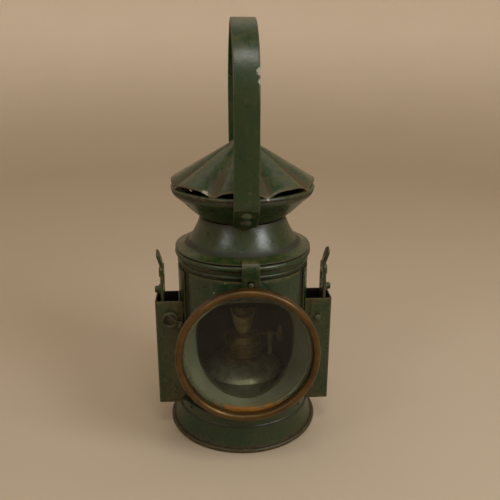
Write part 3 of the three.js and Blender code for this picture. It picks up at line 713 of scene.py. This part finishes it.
# -------- body, plates and lens housing
def housing_ring(y, inset):
    """The housing's outline at one depth: round at the front, and taller than wide towards the body."""
    share = (HOUSING_FRONT_Y - y) / (HOUSING_FRONT_Y - HOUSING_BACK_Y)
    radius = HOUSING_FRONT_R + (HOUSING_BACK_R - HOUSING_FRONT_R) * share - inset
    lower = LENS_Z + (OPENING_LOW - LENS_Z) * share
    upper = LENS_Z - 2 * share + 0.02
    over = [(x, y, upper + z) for x, z in arc(0, 0, radius, 0, 180, 48)]
    under = [(x, y, lower + z) for x, z in arc(0, 0, radius, 180, 360, 48)]
    return over + under


def opening_tool():
    """What is cut out of the body for the lens: the opening's outline, no wider than the housing."""
    half_round = arc(0, 0, OPENING_HALF, 0, 180, 48)
    top = [(x, OPENING_SHOULDER + z * OPENING_CROWN / OPENING_HALF) for x, z in half_round]
    bottom = arc(0, OPENING_LOW, OPENING_HALF, 180, 360, 48)
    inside = skin("inside", [housing_ring(y, 1) for y in (HOUSING_FRONT_Y, HOUSING_BACK_Y)])
    return carved(prism("opening", top + bottom, -60, -20, "Y"), inside, how="INTERSECT")


def body_shell():
    bead = arc(44.2, 125.2, 1.4, -75, 75, 12)
    outer = [(BODY_R, 17), (BODY_R, 123.7), *bead, (BODY_R, 126.7), (BODY_R, 128.9)]
    inner = [(BODY_R - SHEET, 128.9), (BODY_R - SHEET, 17)]
    made = turned("body", [*outer, *inner], sides=192, step=4)
    return carved(dented(made), opening_tool())


def wrapped(name, start, end, low, high):
    """Sheet wrapped round the body between two angles from the front."""
    steps = max(4, round(abs(end - start) / 2))
    outer = arc(0, 0, PLATE_OUT, start - 90, end - 90, steps)
    inner = arc(0, 0, PLATE_IN, end - 90, start - 90, steps)
    made = prism(name, outer + inner, low, high, "Z", rows=26)
    return dented(eased(made, 0.22, 2, 50))


piece("body_shell", body_shell(), [ENAMEL, DARK_INSIDE], pick=faces_inward)
front = wrapped("front", GROOVE_HALF - GROOVE, GROOVE - GROOVE_HALF, PLATES_LOW, FRONT_PLATE_TOP)
piece("front_plate", carved(front, opening_tool()), [ENAMEL])
side = wrapped("side", GROOVE + GROOVE_HALF, SIDE_PLATE_END, PLATES_LOW, SIDE_PLATE_TOP)
pair("side_plate", side, [ENAMEL])


def lens_housing():
    depths = np.linspace(HOUSING_FRONT_Y, HOUSING_BACK_Y, 17)
    rows = [housing_ring(y, 0) for y in depths]
    rows += [housing_ring(y, 0.8) for y in reversed(depths)]
    return carved(skin("housing", rows, hollow=True), drum(OVER_PLATE))


def housing_face(place, normal):
    """1 for the housing's pale inside."""
    return 1 if normal.x * place.x + normal.z * (place.z - LENS_Z + 4) < 0 else 0


def lens_stain(points):
    """Rust that has run down to the lowest part of the lens housing."""
    low = np.clip((LENS_Z - 26 - points[:, 2]) / 16, 0, 1)
    return low * np.clip((-57 - points[:, 1]) / 6, 0, 1)


piece("lens_housing", lens_housing(), [ENAMEL, PALE], pick=housing_face, rust=lens_stain)


def about_lens(name, profile, sides=160):
    """A profile of (radius, depth) turned about the lens's axis."""
    return turned(name, profile, (0, 0, LENS_Z), (0, 1, 0), sides, step=2.5)


bezel_line = [(40.9, -65.5), (40.9, -66.9), *arc(43.1, -67, 2.1, -172, -8, 14), (45.25, -66.2)]
bezel_line += [(45.25, -62.8), (44.4, -62.8), (44.4, -65.5)]
piece("lens_bezel", about_lens("bezel", softened(bezel_line, 0.2)), [BEZEL_BRASS])
glass_back = [(0.4, -65.5), (9, -65.4), (18, -65.12), (26, -64.7), (34, -64.1), (40.3, -63.2)]
glass_front = [(40.3, -65.2), (34, -66.1), (26, -66.7), (18, -67.12), (9, -67.4), (0.4, -67.5)]
glass_edge = [(41.8, -63.2), (41.8, -65.2)]
glass_line = [(0, -65.5), *flowing(glass_back, 3), *glass_edge, *flowing(glass_front, 3), (0, -67.5)]
piece("lens_glass", about_lens("glass", glass_line), [GLASS])
gasket_line = [(38.2, -61.2), (41.4, -61.2), (41.4, -62.9), (38.2, -62.9)]
piece("lens_gasket", about_lens("gasket", softened(gasket_line, 0.5)), [PUTTY], rust=lens_stain)


# -------- top of the body
collar_line = [(43.1, 125), (43.1, 129.2), (44.3, 130), *arc(45, 131.4, 2.2, -140, 140, 24), (44.2, 132.6)]
collar_line += [(42.3, 132.6), (42.3, 125)]
piece("collar_ring", dented(turned("collar", softened(collar_line, 0.2), sides=180, step=3)), [ENAMEL])

stud_line = [(0, 0), (0.5, 0), (1.7, 0), (1.7, 3.6), *arc(0.6, 3.7, 1.1, 0, 80, 5), (0, 4.75)]
piece("latch_stud", turned("stud", stud_line, (HASP_X, -OVER_PLATE, 122.1), (0, -1, 0), 32), [STEEL])


# -------- rear hinge
HINGE_HALF = 12
KNUCKLE_HALF = 4
KNUCKLE_GAP = 0.3


def barrel(x0, x1, radius=2.2):
    """One knuckle of the hinge, with its ends eased."""
    line = softened([(1.3, 0), (radius, 0), (radius, x1 - x0), (1.3, x1 - x0)], 0.3)
    return turned("barrel", line, (x0, HINGE_Y, HINGE_Z), (1, 0, 0), 32)


def pin_hole():
    return rod("pin_hole", (-15, HINGE_Y, HINGE_Z), (15, HINGE_Y, HINGE_Z), 1.3)


def body_leaf():
    line = [(41, 106), (46.1, 106), (46.1, 120), (49.6, 123.6), (51.6, 130), (48.4, 130), (48.4, 124.2)]
    leaf = prism("leaf", [*line, (41, 120.5)], -HINGE_HALF, HINGE_HALF, "X", rows=6)
    right = block("clear", KNUCKLE_HALF + KNUCKLE_GAP, HINGE_HALF + 1, 47.3, 54, 127, 137)
    left = mirrored(right, "clear_left")
    made = eased(carved(leaf, drum(PLATE_IN), right, left, pin_hole()), 0.2)
    return carved(made, barrel(-KNUCKLE_HALF, KNUCKLE_HALF), how="UNION")


def hood_leaf():
    line = [(51, 133), (47.8, 136.4), (38, 140.2), (38, 139), (46.9, 135.4), (49, 132.6)]
    leaf = prism("leaf", line, -HINGE_HALF, HINGE_HALF, "X", rows=6)
    middle = block("middle", -KNUCKLE_HALF - KNUCKLE_GAP, KNUCKLE_HALF + KNUCKLE_GAP, 47.2, 54, 128, 134.3)
    made = eased(carved(leaf, middle, pin_hole()), 0.2)
    right = barrel(KNUCKLE_HALF + KNUCKLE_GAP, HINGE_HALF)
    left = mirrored(right, "barrel_left")
    return carved(made, right, left, how="UNION")


piece("hinge_leaf_body", body_leaf(), [ENAMEL])
piece("hinge_leaf_hood", hood_leaf(), [ENAMEL])
pin_line = [(0, 0), (0.3, 0), *arc(0.6, 0.4, 0.4, -90, 0, 3)]
pin_line += [*arc(0.6, 25.6, 0.4, 0, 90, 3), (0.3, 26), (0, 26)]
piece("hinge_pin", turned("pin", pin_line, (-13, HINGE_Y, HINGE_Z), (1, 0, 0), 24), [STEEL])


# -------- hood
def hood_shoulder():
    brim = [(46.9, 134.9), (44.4, 135.5), (42, 136.3), (39.6, 137.5), (37.6, 139.5), (35.4, 142.5)]
    line = flowing([*brim, (33.2, 146.2), (31.2, 150.4), (29.3, 155.3)], 4)
    return dented(turned("shoulder", softened(sheet(line), 0.35), sides=192, step=2))


piece("hood_shoulder", hood_shoulder(), [ENAMEL, DARK_INSIDE], pick=faces_inward)
spigot_line = softened([(41.1, 129.8), (41.9, 129.8), (41.9, 135), (41.1, 135)], 0.2)
piece("hood_spigot", turned("spigot", spigot_line), [DARK_INSIDE])
chimney_line = [(22, 138), (22.8, 138), (22.8, 149), (29.3, 149), (29.3, 149.8), (22.8, 149.8)]
chimney_line += [(22.8, 170), (22, 170)]
piece("inner_chimney", turned("chimney", softened(chimney_line, 0.2)), [DARK_INSIDE])


def along_rivet(spot, side, out):
    """A point on a handle rivet's line, that far out from the strap's outer face."""
    y, z = spot
    return (0, side * (y - out * math.sqrt(0.5)), z - out * math.sqrt(0.5))


def rivet_holes():
    return [
        rod("hole", along_rivet(spot, side, -7), along_rivet(spot, side, 2), 1.9)
        for side in (1, -1)
        for spot in RIVET_SPOTS.values()
    ]


def vent_funnel():
    cone = flowing([(29.3, 155.8), (35.6, 161), (41.3, 166.7), (46.6, 171.3), (48, 173.6)], 5)
    rim = arc(47.05, 175.8, 1.5, -62, 255, 22)
    section = [*cone, *rim, *reversed(moved_in(cone, SHEET))]
    made = turned("funnel", softened(section, 0.25), sides=180, step=2.5)
    holes = rivet_holes()
    for x, y in map(outward, VENT_HOLES):
        holes.append(rod("vent", (38 * x, 38 * y, 171.3), (46 * x, 46 * y, 163.3), 1.4))
    return dented(carved(made, *holes))


def funnel_face(place, normal):
    """1 for the soot-dark inside, which ends below the cap's edge, and for the walls of the vents, where
    the dark paint is painted shade in the holes.
    """
    leaning = (normal.x * place.x + normal.y * place.y) / math.hypot(place.x, place.y)
    beside_vent = abs(leaning - normal.z) < 0.7 and place.z < 171
    return 1 if beside_vent or (leaning < -0.3 and place.z < 168) else 0


def near_rim(points):
    """Rust on the funnel's rim, strongest where it catches the drips of the cap."""
    return 0.4 * np.exp(-(((points[:, 2] - 176) / 3.5) ** 2))


piece("vent_funnel", vent_funnel(), [ENAMEL, DARK_INSIDE], pick=funnel_face, rust=near_rim)


def lobe_share(bearing):
    """0 on a ridge and 1 in the middle of a valley."""
    bearing = (bearing - CAP_VALLEYS[0]) % 360 + CAP_VALLEYS[0]
    for start, end in zip(CAP_VALLEYS, CAP_VALLEYS[1:]):
        if bearing <= end:
            return abs(2 * bearing - start - end) / (end - start)
    return 1


def cap_height(r, share):
    """The cap's height at a radius, for a share of the way from ridge to valley."""
    fall = min(share / (1 - VALLEY_SHARE), 1) ** LOBE_ROUNDNESS
    blunted = 2 * math.exp(-r / 3)
    return CAP_APEX_Z - CAP_RIDGE_DROP * r - CAP_VALLEY_DEPTH * (r / CAP_R) * fall - blunted


def fluted_cap():
    def ring(r, drop):
        made = []
        for bearing in np.arange(0, 360, 1.25):
            x, y = outward(bearing)
            made.append((r * x, r * y, cap_height(r, lobe_share(bearing)) - drop))
        return made

    radii = [0.8, 2, 4, 7, *np.linspace(10, CAP_R - 0.3, 18)]
    top = [ring(r, 0) for r in radii]
    edge = [ring(CAP_R, 0.25), ring(CAP_R, 0.6)]
    under = [ring(r, 0.8) for r in reversed(radii)]
    return dented(skin("cap", [*top, *edge, *under]), 0.3)


def in_valleys(points):
    """Rust that has run down the cap's valleys."""
    radius = np.hypot(points[:, 0], points[:, 1])
    bearing = np.degrees(np.arctan2(points[:, 0], -points[:, 1]))
    share = np.array([lobe_share(b) for b in bearing])
    return 0.8 * np.clip((share - 0.5) / 0.4, 0, 1) * np.clip((radius - 8) / 25, 0, 1)


# Faces that look down take the dark inside paint: soot, and painted shade under the cap.
def looks_down(place, normal):
    return 1 if normal.z < -0.2 else 0


piece("fluted_cap", fluted_cap(), [ENAMEL, DARK_INSIDE], pick=looks_down, rust=in_valleys)


# -------- handle
def handle_line(leg, radius):
    """The strap's line in (y, z): up the front leg, over the top and down the rear leg."""
    top = arc(0, HANDLE_CENTRE_Z, radius, 180, 0, 48)
    front = dense([*leg, top[0]], 4, closed=False)[:-1]
    rear = [(-y, z) for y, z in reversed(front)]
    return [*front, *top, *rear]


def carrying_handle():
    bend_in = flowing([(-31.4, 155.6), (-36.8, 160.4), (-42.4, 166), (-47.6, 170.9), (-48.9, 174)], 3)
    bend_out = flowing([(-32.7, 154.1), (-38.2, 158.9), (-43.8, 164.5), (-49.6, 170), (-51, 174.2)], 3)
    inner = handle_line(bend_in, HANDLE_R - 1)
    outer = handle_line(bend_out, HANDLE_R + 1)
    travelled = np.concatenate([[0], np.cumsum([math.dist(a, b) for a, b in zip(outer, outer[1:])])])
    rows = []
    for (y0, z0), (y1, z1), far in zip(inner, outer, travelled):
        to_end = min(far, travelled[-1] - far)
        lost = max(0, HANDLE_END_ROUND - to_end)
        half = HANDLE_HALF - HANDLE_END_ROUND + math.sqrt(HANDLE_END_ROUND**2 - lost**2)
        half += 0.12 * math.sin(far / 17) - 0.12  # old strap, never quite even
        thick = math.hypot(y1 - y0, z1 - z0)
        section = softened([(-half, 0), (half, 0), (half, thick), (-half, thick)], 0.75, 4)
        out_y, out_z = (y1 - y0) / thick, (z1 - z0) / thick
        rows.append([(x, y0 + out_y * h, z0 + out_z * h) for x, h in section])
    return carved(skin("strap", rows), *rivet_holes())


piece("carrying_handle", carrying_handle(), [ENAMEL])
rivet_line = [(0, -4), (0.5, -4), (1.5, -4), (1.5, 0.3), (3.5, 0.3), (3.45, 0.8)]
rivet_line += [*arc(0, -2.1, 4.2, 45, 86, 7), (0, 2.1)]
for side, where in ((1, "front"), (-1, "rear")):
    for level, spot in RIVET_SPOTS.items():
        out = Vector((0, -side, -1)).normalized()
        made = turned("rivet", rivet_line, along_rivet(spot, side, 0), out, 32, step=1.5)
        piece(f"handle_rivet_{where}_{level}", made, [LIT_RIVET_PAINT])


# -------- front hasp
def front_hasp():
    outer = [(-49.2, 120.2), (-49.2, 132.6), (-49.1, 133.2), (-48.9, 133.7), (-47.6, 135.7), (-47.2, 136)]
    inner = [(-43.4, 137), (-43.4, 136.2), (-46.7, 135.3), (-47, 135.1), (-47.7, 134.1), (-47.8, 120.2)]
    made = prism("hasp", outer + inner, HASP_X - HASP_HALF, HASP_X + HASP_HALF, "X", rows=5)
    return eased(carved(made, block("fork", HASP_X - 2.3, HASP_X + 2.3, -52, -45, 118, 124.4)), 0.28, 3)


piece("front_hasp", front_hasp(), [ENAMEL])


# -------- side pockets and slides
def pocket():
    x1, y0, y1 = POCKET_X, POCKET_FRONT_Y, POCKET_BACK_Y
    front_corner = arc(x1 - POCKET_ROUND, y0 + POCKET_ROUND, POCKET_ROUND, -90, 0, 4)
    back_corner = arc(x1 - POCKET_ROUND, y1 - POCKET_ROUND, POCKET_ROUND, 0, 90, 4)
    outline = [(42, y0), *front_corner, *back_corner, (42, y1)]
    hollow = [(40, y0 + SHEET), (x1 - SHEET, y0 + SHEET), (x1 - SHEET, y1 - SHEET), (40, y1 - SHEET)]
    made = prism("pocket", outline, POCKET_LOW, POCKET_TOP, "Z", rows=20)
    inner = prism("hollow", softened(hollow, 0.5), POCKET_LOW + SHEET, 104, "Z", rows=20)
    return eased(carved(made, inner, drum(OVER_PLATE), drum(OVER_BAND, BAND_TOP)), 0.18, 2)


def pocket_face(place, normal):
    """1 for the pocket's inside, which takes the dark inside paint: rust-brown, and painted shade down the
    deep pocket.
    """
    across = place.y - (POCKET_FRONT_Y + POCKET_BACK_Y) / 2
    inside_y = abs(across) < 9.3 and normal.y * across < -0.1
    inside_x = abs(place.x) < POCKET_X - 0.5 and normal.x * place.x < -1
    return 1 if inside_y or inside_x else 0


pair("pocket", pocket(), [ENAMEL, DARK_INSIDE], pick=pocket_face)
dot_line = [(0, 0), (0.4, 0), (1.6, 0), *arc(0.5, -0.4, 1.15, 15, 80, 4), (0, 0.8)]
dot = turned("dot", dot_line, (49.6, POCKET_FRONT_Y - 0.3, 29.9), (0, -1, 0), 24)
pair("pocket_rivet", dot, [STEEL])


def slide():
    y, half = SLIDE_Y, SLIDE_HALF
    outline = [(y - half, 23), (y + half, 23), (y + half, 112)]
    outline += [(y + 6.6, 121.5), (y - 6.6, 121.5), (y - half, 112)]
    blade = prism("blade", softened(outline, 2), SLIDE_X, SLIDE_X + 1.8, "X")
    loop = [(y - 4.2, 108.4), (y + 4.2, 108.4), (y + 4.2, 114.6), (y - 4.2, 114.6)]
    hole = prism("loop", softened(loop, 1.6), SLIDE_X - 2, SLIDE_X + 4, "X")
    stud = rod("stud", (SLIDE_X - 2, y, SLIDE_STUD_Z), (SLIDE_X + 4, y, SLIDE_STUD_Z), 1.9)
    made = eased(carved(blade, hole, stud), 0.35, 3)
    fold = [(y - 6.9, 115.4), (y + 6.9, 115.4), (y + 6, 121.9), (y - 6, 121.9)]
    wrap = eased(prism("wrap", softened(fold, 1.2), SLIDE_X - 0.2, SLIDE_X + 2.6, "X"), 0.6, 3)
    return carved(made, wrap, tongue(), how="UNION")


def tongue():
    """The pull's rounded tip, which leans outwards."""
    rows = []
    for share in np.linspace(0, 1, 15):
        z = 119 + 14.2 * share
        lean = 4 * max(0, share - 0.12) ** 1.3
        rounding = math.sqrt(max(0, 1 - max(0, (share - 0.72) / 0.29) ** 2))
        half = (4.6 - 1.2 * math.exp(-(((share - 0.3) / 0.16) ** 2))) * rounding
        thick = 2.2 * (0.55 + 0.45 * rounding)
        x = SLIDE_X + lean - 0.1
        section = softened([(-half, 0), (half, 0), (half, thick), (-half, thick)], 0.7, 3)
        rows.append([(min(x + h, SLIDE_X + 4.2), SLIDE_Y + across, z) for across, h in section])
    return skin("tongue", rows)


def slide_stud():
    line = [(0, 0), (0.4, 0), (1.5, 0), (1.5, 2), (3.7, 2), *arc(3.2, 2.9, 0.5, 0, 90, 3), (2.5, 3.4)]
    line += [(2.4, 5.3), *arc(1.6, 5.4, 0.85, 0, 80, 4), (0, 6.3)]
    return turned("slide_stud", line, (SLIDE_X + 0.1, SLIDE_Y, SLIDE_STUD_Z), (1, 0, 0), 32, step=1.5)


pair("slide", slide(), [ENAMEL])
pair("slide_stud", slide_stud(), [ENAMEL])


# -------- wire catch
BOSS_BACK_Y = POCKET_FRONT_Y - 0.3
boss_line = [(3.2, 0), (6, 0), (6, 0.9), *arc(4.9, 0.9, 1.3, 15, 165, 8), (3.2, 1.2)]
boss = turned("boss", boss_line, (CATCH_X, BOSS_BACK_Y, CATCH_Z), (0, -1, 0), 48, step=1.5)
piece("catch_boss", boss, [ENAMEL])
pivot_line = [(0, 0), (0.3, 0), (0.9, 0), (0.9, 3.9), (1.7, 3.9), *arc(0.7, 4.1, 0.95, 5, 80, 5), (0, 5.05)]
pivot = turned("pivot", pivot_line, (PIVOT_X, BOSS_BACK_Y, PIVOT_Z), (0, -1, 0), 24, step=1.5)
piece("catch_pivot", pivot, [STEEL])


def wire_catch():
    eye = arc(PIVOT_X, PIVOT_Z, 1.9, 160, 470, 28)
    slope = math.radians(135)
    arm = [(PIVOT_X + r * math.cos(slope), PIVOT_Z + r * math.sin(slope)) for r in (3.4, 6, 9, 11.4, 12)]
    path = flowing([*eye, *arm], 2)
    return tube("wire", [(x, WIRE_Y, z) for x, z in path], 0.55)


piece("wire_catch", wire_catch(), [STEEL])
stud_line = [(0, 0), (0.3, 0), (1.2, 0), (1.2, 1.6), (2.2, 1.6), *arc(1, 1.9, 1.25, 0, 80, 5), (0, 3.15)]
button = turned("button", stud_line, (-CATCH_X, BOSS_BACK_Y, CATCH_Z), (0, -1, 0), 32, step=1.5)
piece("pocket_stud", button, [STEEL])


# -------- fount and burner
def fount():
    dome = flowing([(28, 39.2), (26, 41.4), (23.2, 43.4), (19.5, 45.2), (15.5, 46.6), (11, 47.6)], 4)
    seam = arc(28, 38.5, 0.5, -90, 90, 6)
    outer = [(27, 18.7), (28, 19.7), (28, 37.8), *seam, *dome]
    inner = [(11, 46.8), (15.2, 45.8), (19.2, 44.4), (23, 42.4), (26.9, 38.4), (26.9, 20.6), (26, 19.6)]
    return turned("fount", [(0, 18.7), *outer, *inner, (0, 19.6)], sides=144, step=3)


piece("fount", fount(), [TINPLATE])
ring_line = [(9.7, 43), (10.7, 43), (10.7, 48), (14, 48), (14, 50), (9.7, 50)]
piece("burner_collar", turned("collar", softened(ring_line)), [BURNER_BRASS])


def round_spindle(radius, angle):
    return SPINDLE_Y + radius * math.cos(angle), SPINDLE_Z + radius * math.sin(angle)


def spindle_bore(x0, x1, radius=SPINDLE_BORE, sides=24):
    return rod("bore", (x0, SPINDLE_Y, SPINDLE_Z), (x1, SPINDLE_Y, SPINDLE_Z), radius, sides)


def burner_gallery():
    skirt = [(9.3, 44.5), (9.3, 50.3), (13, 50.3), (13, 52), (11, 53.4), (11, 57)]
    upper = [(13.5, 58.4), (13.5, 60), (11.6, 61.5), (10.6, 65.8), (4.2, 66.6)]
    inner = [(4.2, 65.6), (9.6, 64.8), (10.4, 61), (10, 54), (8.2, 52), (8.2, 44.5)]
    made = turned("gallery", softened([*skirt, *upper, *inner], 0.5), sides=96, step=2)
    return carved(made, spindle_bore(2, 16))


piece("burner_gallery", burner_gallery(), [BURNER_BRASS])


TULIP_LOW = 67
TULIP_HEIGHT = 18
NOTCH_DEPTH = 4.2


def burner_tulip():
    """A flared cup whose mouth dips to a notch at the front and back."""
    outer = flowing([(4.6, 67), (5.6, 69.5), (6.7, 72.6), (7.7, 77), (8.3, 81), (8.8, 85)], 4)
    rows = []
    for r, z in sheet(outer, 0.6):
        ring = []
        for angle in np.linspace(0, 2 * math.pi, 96, endpoint=False):
            notch = NOTCH_DEPTH * abs(math.sin(angle)) ** 1.4
            share = max(0, (z - TULIP_LOW) / TULIP_HEIGHT)
            ring.append((r * math.cos(angle), r * math.sin(angle), z - notch * share**2))
        rows.append(ring)
    return skin("tulip", rows, hollow=True)


piece("burner_tulip", burner_tulip(), [TULIP_BRASS])
tube_line = [(2.8, 40), (3.35, 40), (3.35, 73), (2.8, 73)]
slot = block("slot", -2, 2, 2, 5, SPINDLE_Z - 4, SPINDLE_Z + 4)
piece("wick_tube", carved(turned("wick_tube", softened(tube_line, 0.1), sides=48), slot), [BURNER_BRASS])
wick_line = [(0, 24), (0.3, 24), *arc(2.1, 24.4, 0.4, -90, 0, 2)]
wick_line += [*arc(1.9, 75.3, 0.6, 0, 80, 3), (0.3, 76), (0, 76)]
piece("wick", turned("wick", wick_line, sides=32, step=1.5), [COTTON])


def spur_wheel():
    outline = [round_spindle(2.3 if i % 2 else 3.3, math.pi * (i + 0.5) / 10) for i in range(20)]
    return eased(carved(prism("spur", outline, -1.5, 1.5, "X"), spindle_bore(-3, 3)), 0.12)


def wick_knob():
    """A disc with a milled edge and a dished face."""
    teeth = 28
    angles = np.linspace(0, 2 * math.pi, teeth * 4, endpoint=False)
    outline = [round_spindle(5.9 + 0.2 * math.cos(angle * teeth), angle) for angle in angles]
    disc = prism("knob", outline, KNOB_X, KNOB_X + 2.8, "X")
    dish = spindle_bore(KNOB_X + 2.2, KNOB_X + 4, 4.6, 64)
    return eased(carved(disc, dish, spindle_bore(KNOB_X - 1, KNOB_X + 1.8)), 0.15)


piece("spur_wheel", spur_wheel(), [BURNER_BRASS])
piece("wick_knob", wick_knob(), [BURNER_BRASS])
spindle_line = [(0, 0), (0.6, 0), (0.9, 0.3), (0.9, 31.8), (0.6, 32.1), (0, 32.1)]
spindle = turned("spindle", spindle_line, (-4, SPINDLE_Y, SPINDLE_Z), (1, 0, 0), 24)
piece("wick_spindle", spindle, [BURNER_BRASS])

POST_X = 20.5
post_line = [(0, 45.2), (0.5, 45.2), (2.2, 45.2), (2.2, 62.9), *arc(1.4, 62.9, 0.8, 0, 80, 4), (0, 63.7)]
post = turned("post", post_line, (POST_X, SPINDLE_Y, 0), (0, 0, 1), 32)
piece("spindle_post", carved(post, spindle_bore(POST_X - 4, POST_X + 4)), [TINPLATE])


# -------- studio
LIGHT_DISTANCE = 950
LIGHTS_AIM = 140  # a height, about the lamp's middle
DIMMER_FROM = 0.72  # height on the sky's unit ball from which it dims, up to the next
DIMMEST_FROM = 0.96


def studio_paint():
    r = Recipe("studio_paint")
    clouds = r.noise(160, 3)
    floor = r.mix(clouds, tone(194, 178, 156), tone(190, 174, 151))
    wall = r.mix(clouds, tone(240, 226, 208), tone(236, 222, 202))
    colour = r.mix(r.between(r.part_of(r.place, "Z"), 0, 350 * MM), floor, wall)
    return r.finish(colour, r.scaled(clouds, 0.72, 0.8), r.noise(6, 2), 0.02)


def studio():
    """A pale floor that curves up into a wall all round."""
    line = [(1, 0), (900, 0), *arc(1000, 500, 500, -90, 0, 16), (1500, 1500)]
    angles = [2 * math.pi * i / 96 for i in range(96)]
    rows = [[(r * math.cos(a), r * math.sin(a), z - 0.02) for a in angles] for r, z in line]
    made = skin("studio_floor", rows)
    bm = bmesh.new()
    bm.from_mesh(made.data)
    lid = [f for f in bm.faces if len(f.verts) > 4 and f.calc_center_median().z > 1]
    bmesh.ops.delete(bm, geom=lid, context="FACES_ONLY")
    bm.to_mesh(made.data)
    bm.free()
    made.data.materials.append(studio_paint())
    made.data.shade_smooth()


def soft_light(name, bearing, height, size, watts, colour):
    """An area light aimed at the lamp, that many degrees above it."""
    data = bpy.data.lights.new(name, "AREA")
    data.shape = "RECTANGLE"
    data.size, data.size_y = size
    data.energy = watts
    data.color = colour
    light = linked(name, data)
    x, y = outward(bearing)
    level, rise = math.cos(math.radians(height)), math.sin(math.radians(height))
    away = Vector((x * level, y * level, rise))
    light.location = Vector((0, 0, LIGHTS_AIM * MM)) + away * LIGHT_DISTANCE * MM
    light.rotation_mode = "QUATERNION"
    light.rotation_quaternion = away.to_track_quat("Z", "Y")


def surroundings(around, overhead):
    """Light from everywhere, dimmer from straight overhead."""
    world = bpy.data.worlds.new("studio_air")
    world.use_nodes = True
    tree = world.node_tree
    where = tree.nodes.new("ShaderNodeSeparateXYZ")
    tree.links.new(tree.nodes.new("ShaderNodeTexCoord").outputs["Generated"], where.inputs[0])
    climb = tree.nodes.new("ShaderNodeMapRange")
    climb.inputs["From Min"].default_value = DIMMER_FROM
    climb.inputs["From Max"].default_value = DIMMEST_FROM
    tree.links.new(where.outputs["Z"], climb.inputs["Value"])
    blend = tree.nodes.new("ShaderNodeMix")
    blend.data_type = "RGBA"
    blend.inputs[6].default_value = (*around, 1)
    blend.inputs[7].default_value = (*overhead, 1)
    tree.links.new(climb.outputs["Result"], blend.inputs["Factor"])
    tree.links.new(blend.outputs[2], tree.nodes["Background"].inputs["Color"])
    bpy.context.scene.world = world


CAMERA_DISTANCE = 396.4  # from the lamp's axis, along the ground
CAMERA_HEIGHT = 262
CAMERA_BEARING = 2.94
CAMERA_HEADING = 3.68
CAMERA_PITCH = 18.51
CAMERA_ROLL = 0.14
LENS_LENGTH = 42.91


def camera():
    data = bpy.data.cameras.new("camera")
    data.lens = LENS_LENGTH
    data.sensor_width = 36
    data.clip_start = 0.01
    made = linked("camera", data)
    bearing = math.radians(CAMERA_BEARING)
    ground = Vector((-math.sin(bearing), -math.cos(bearing), 0)) * CAMERA_DISTANCE
    place = AXIS + (ground + Vector((0, 0, CAMERA_HEIGHT))) * MM
    turn = Matrix.Rotation(-math.radians(CAMERA_HEADING), 4, "Z")
    tilt = Matrix.Rotation(math.radians(90 - CAMERA_PITCH), 4, "X")
    roll = Matrix.Rotation(math.radians(CAMERA_ROLL), 4, "Z")
    made.matrix_world = Matrix.Translation(place) @ turn @ tilt @ roll
    bpy.context.scene.camera = made


studio()
soft_light("window_right", 48, 32, (0.36, 0.32), 3.6, (0.95, 0.98, 1))
soft_light("window_left", -44, 34, (0.2, 0.16), 0.8, (0.95, 0.98, 1))
soft_light("lamp_over", 8, 68, (0.3, 0.2), 1.4, (1, 0.95, 0.88))
surroundings((0.74, 0.68, 0.6), (0.26, 0.24, 0.19))
camera()
bpy.context.scene.view_settings.view_transform = "Standard"
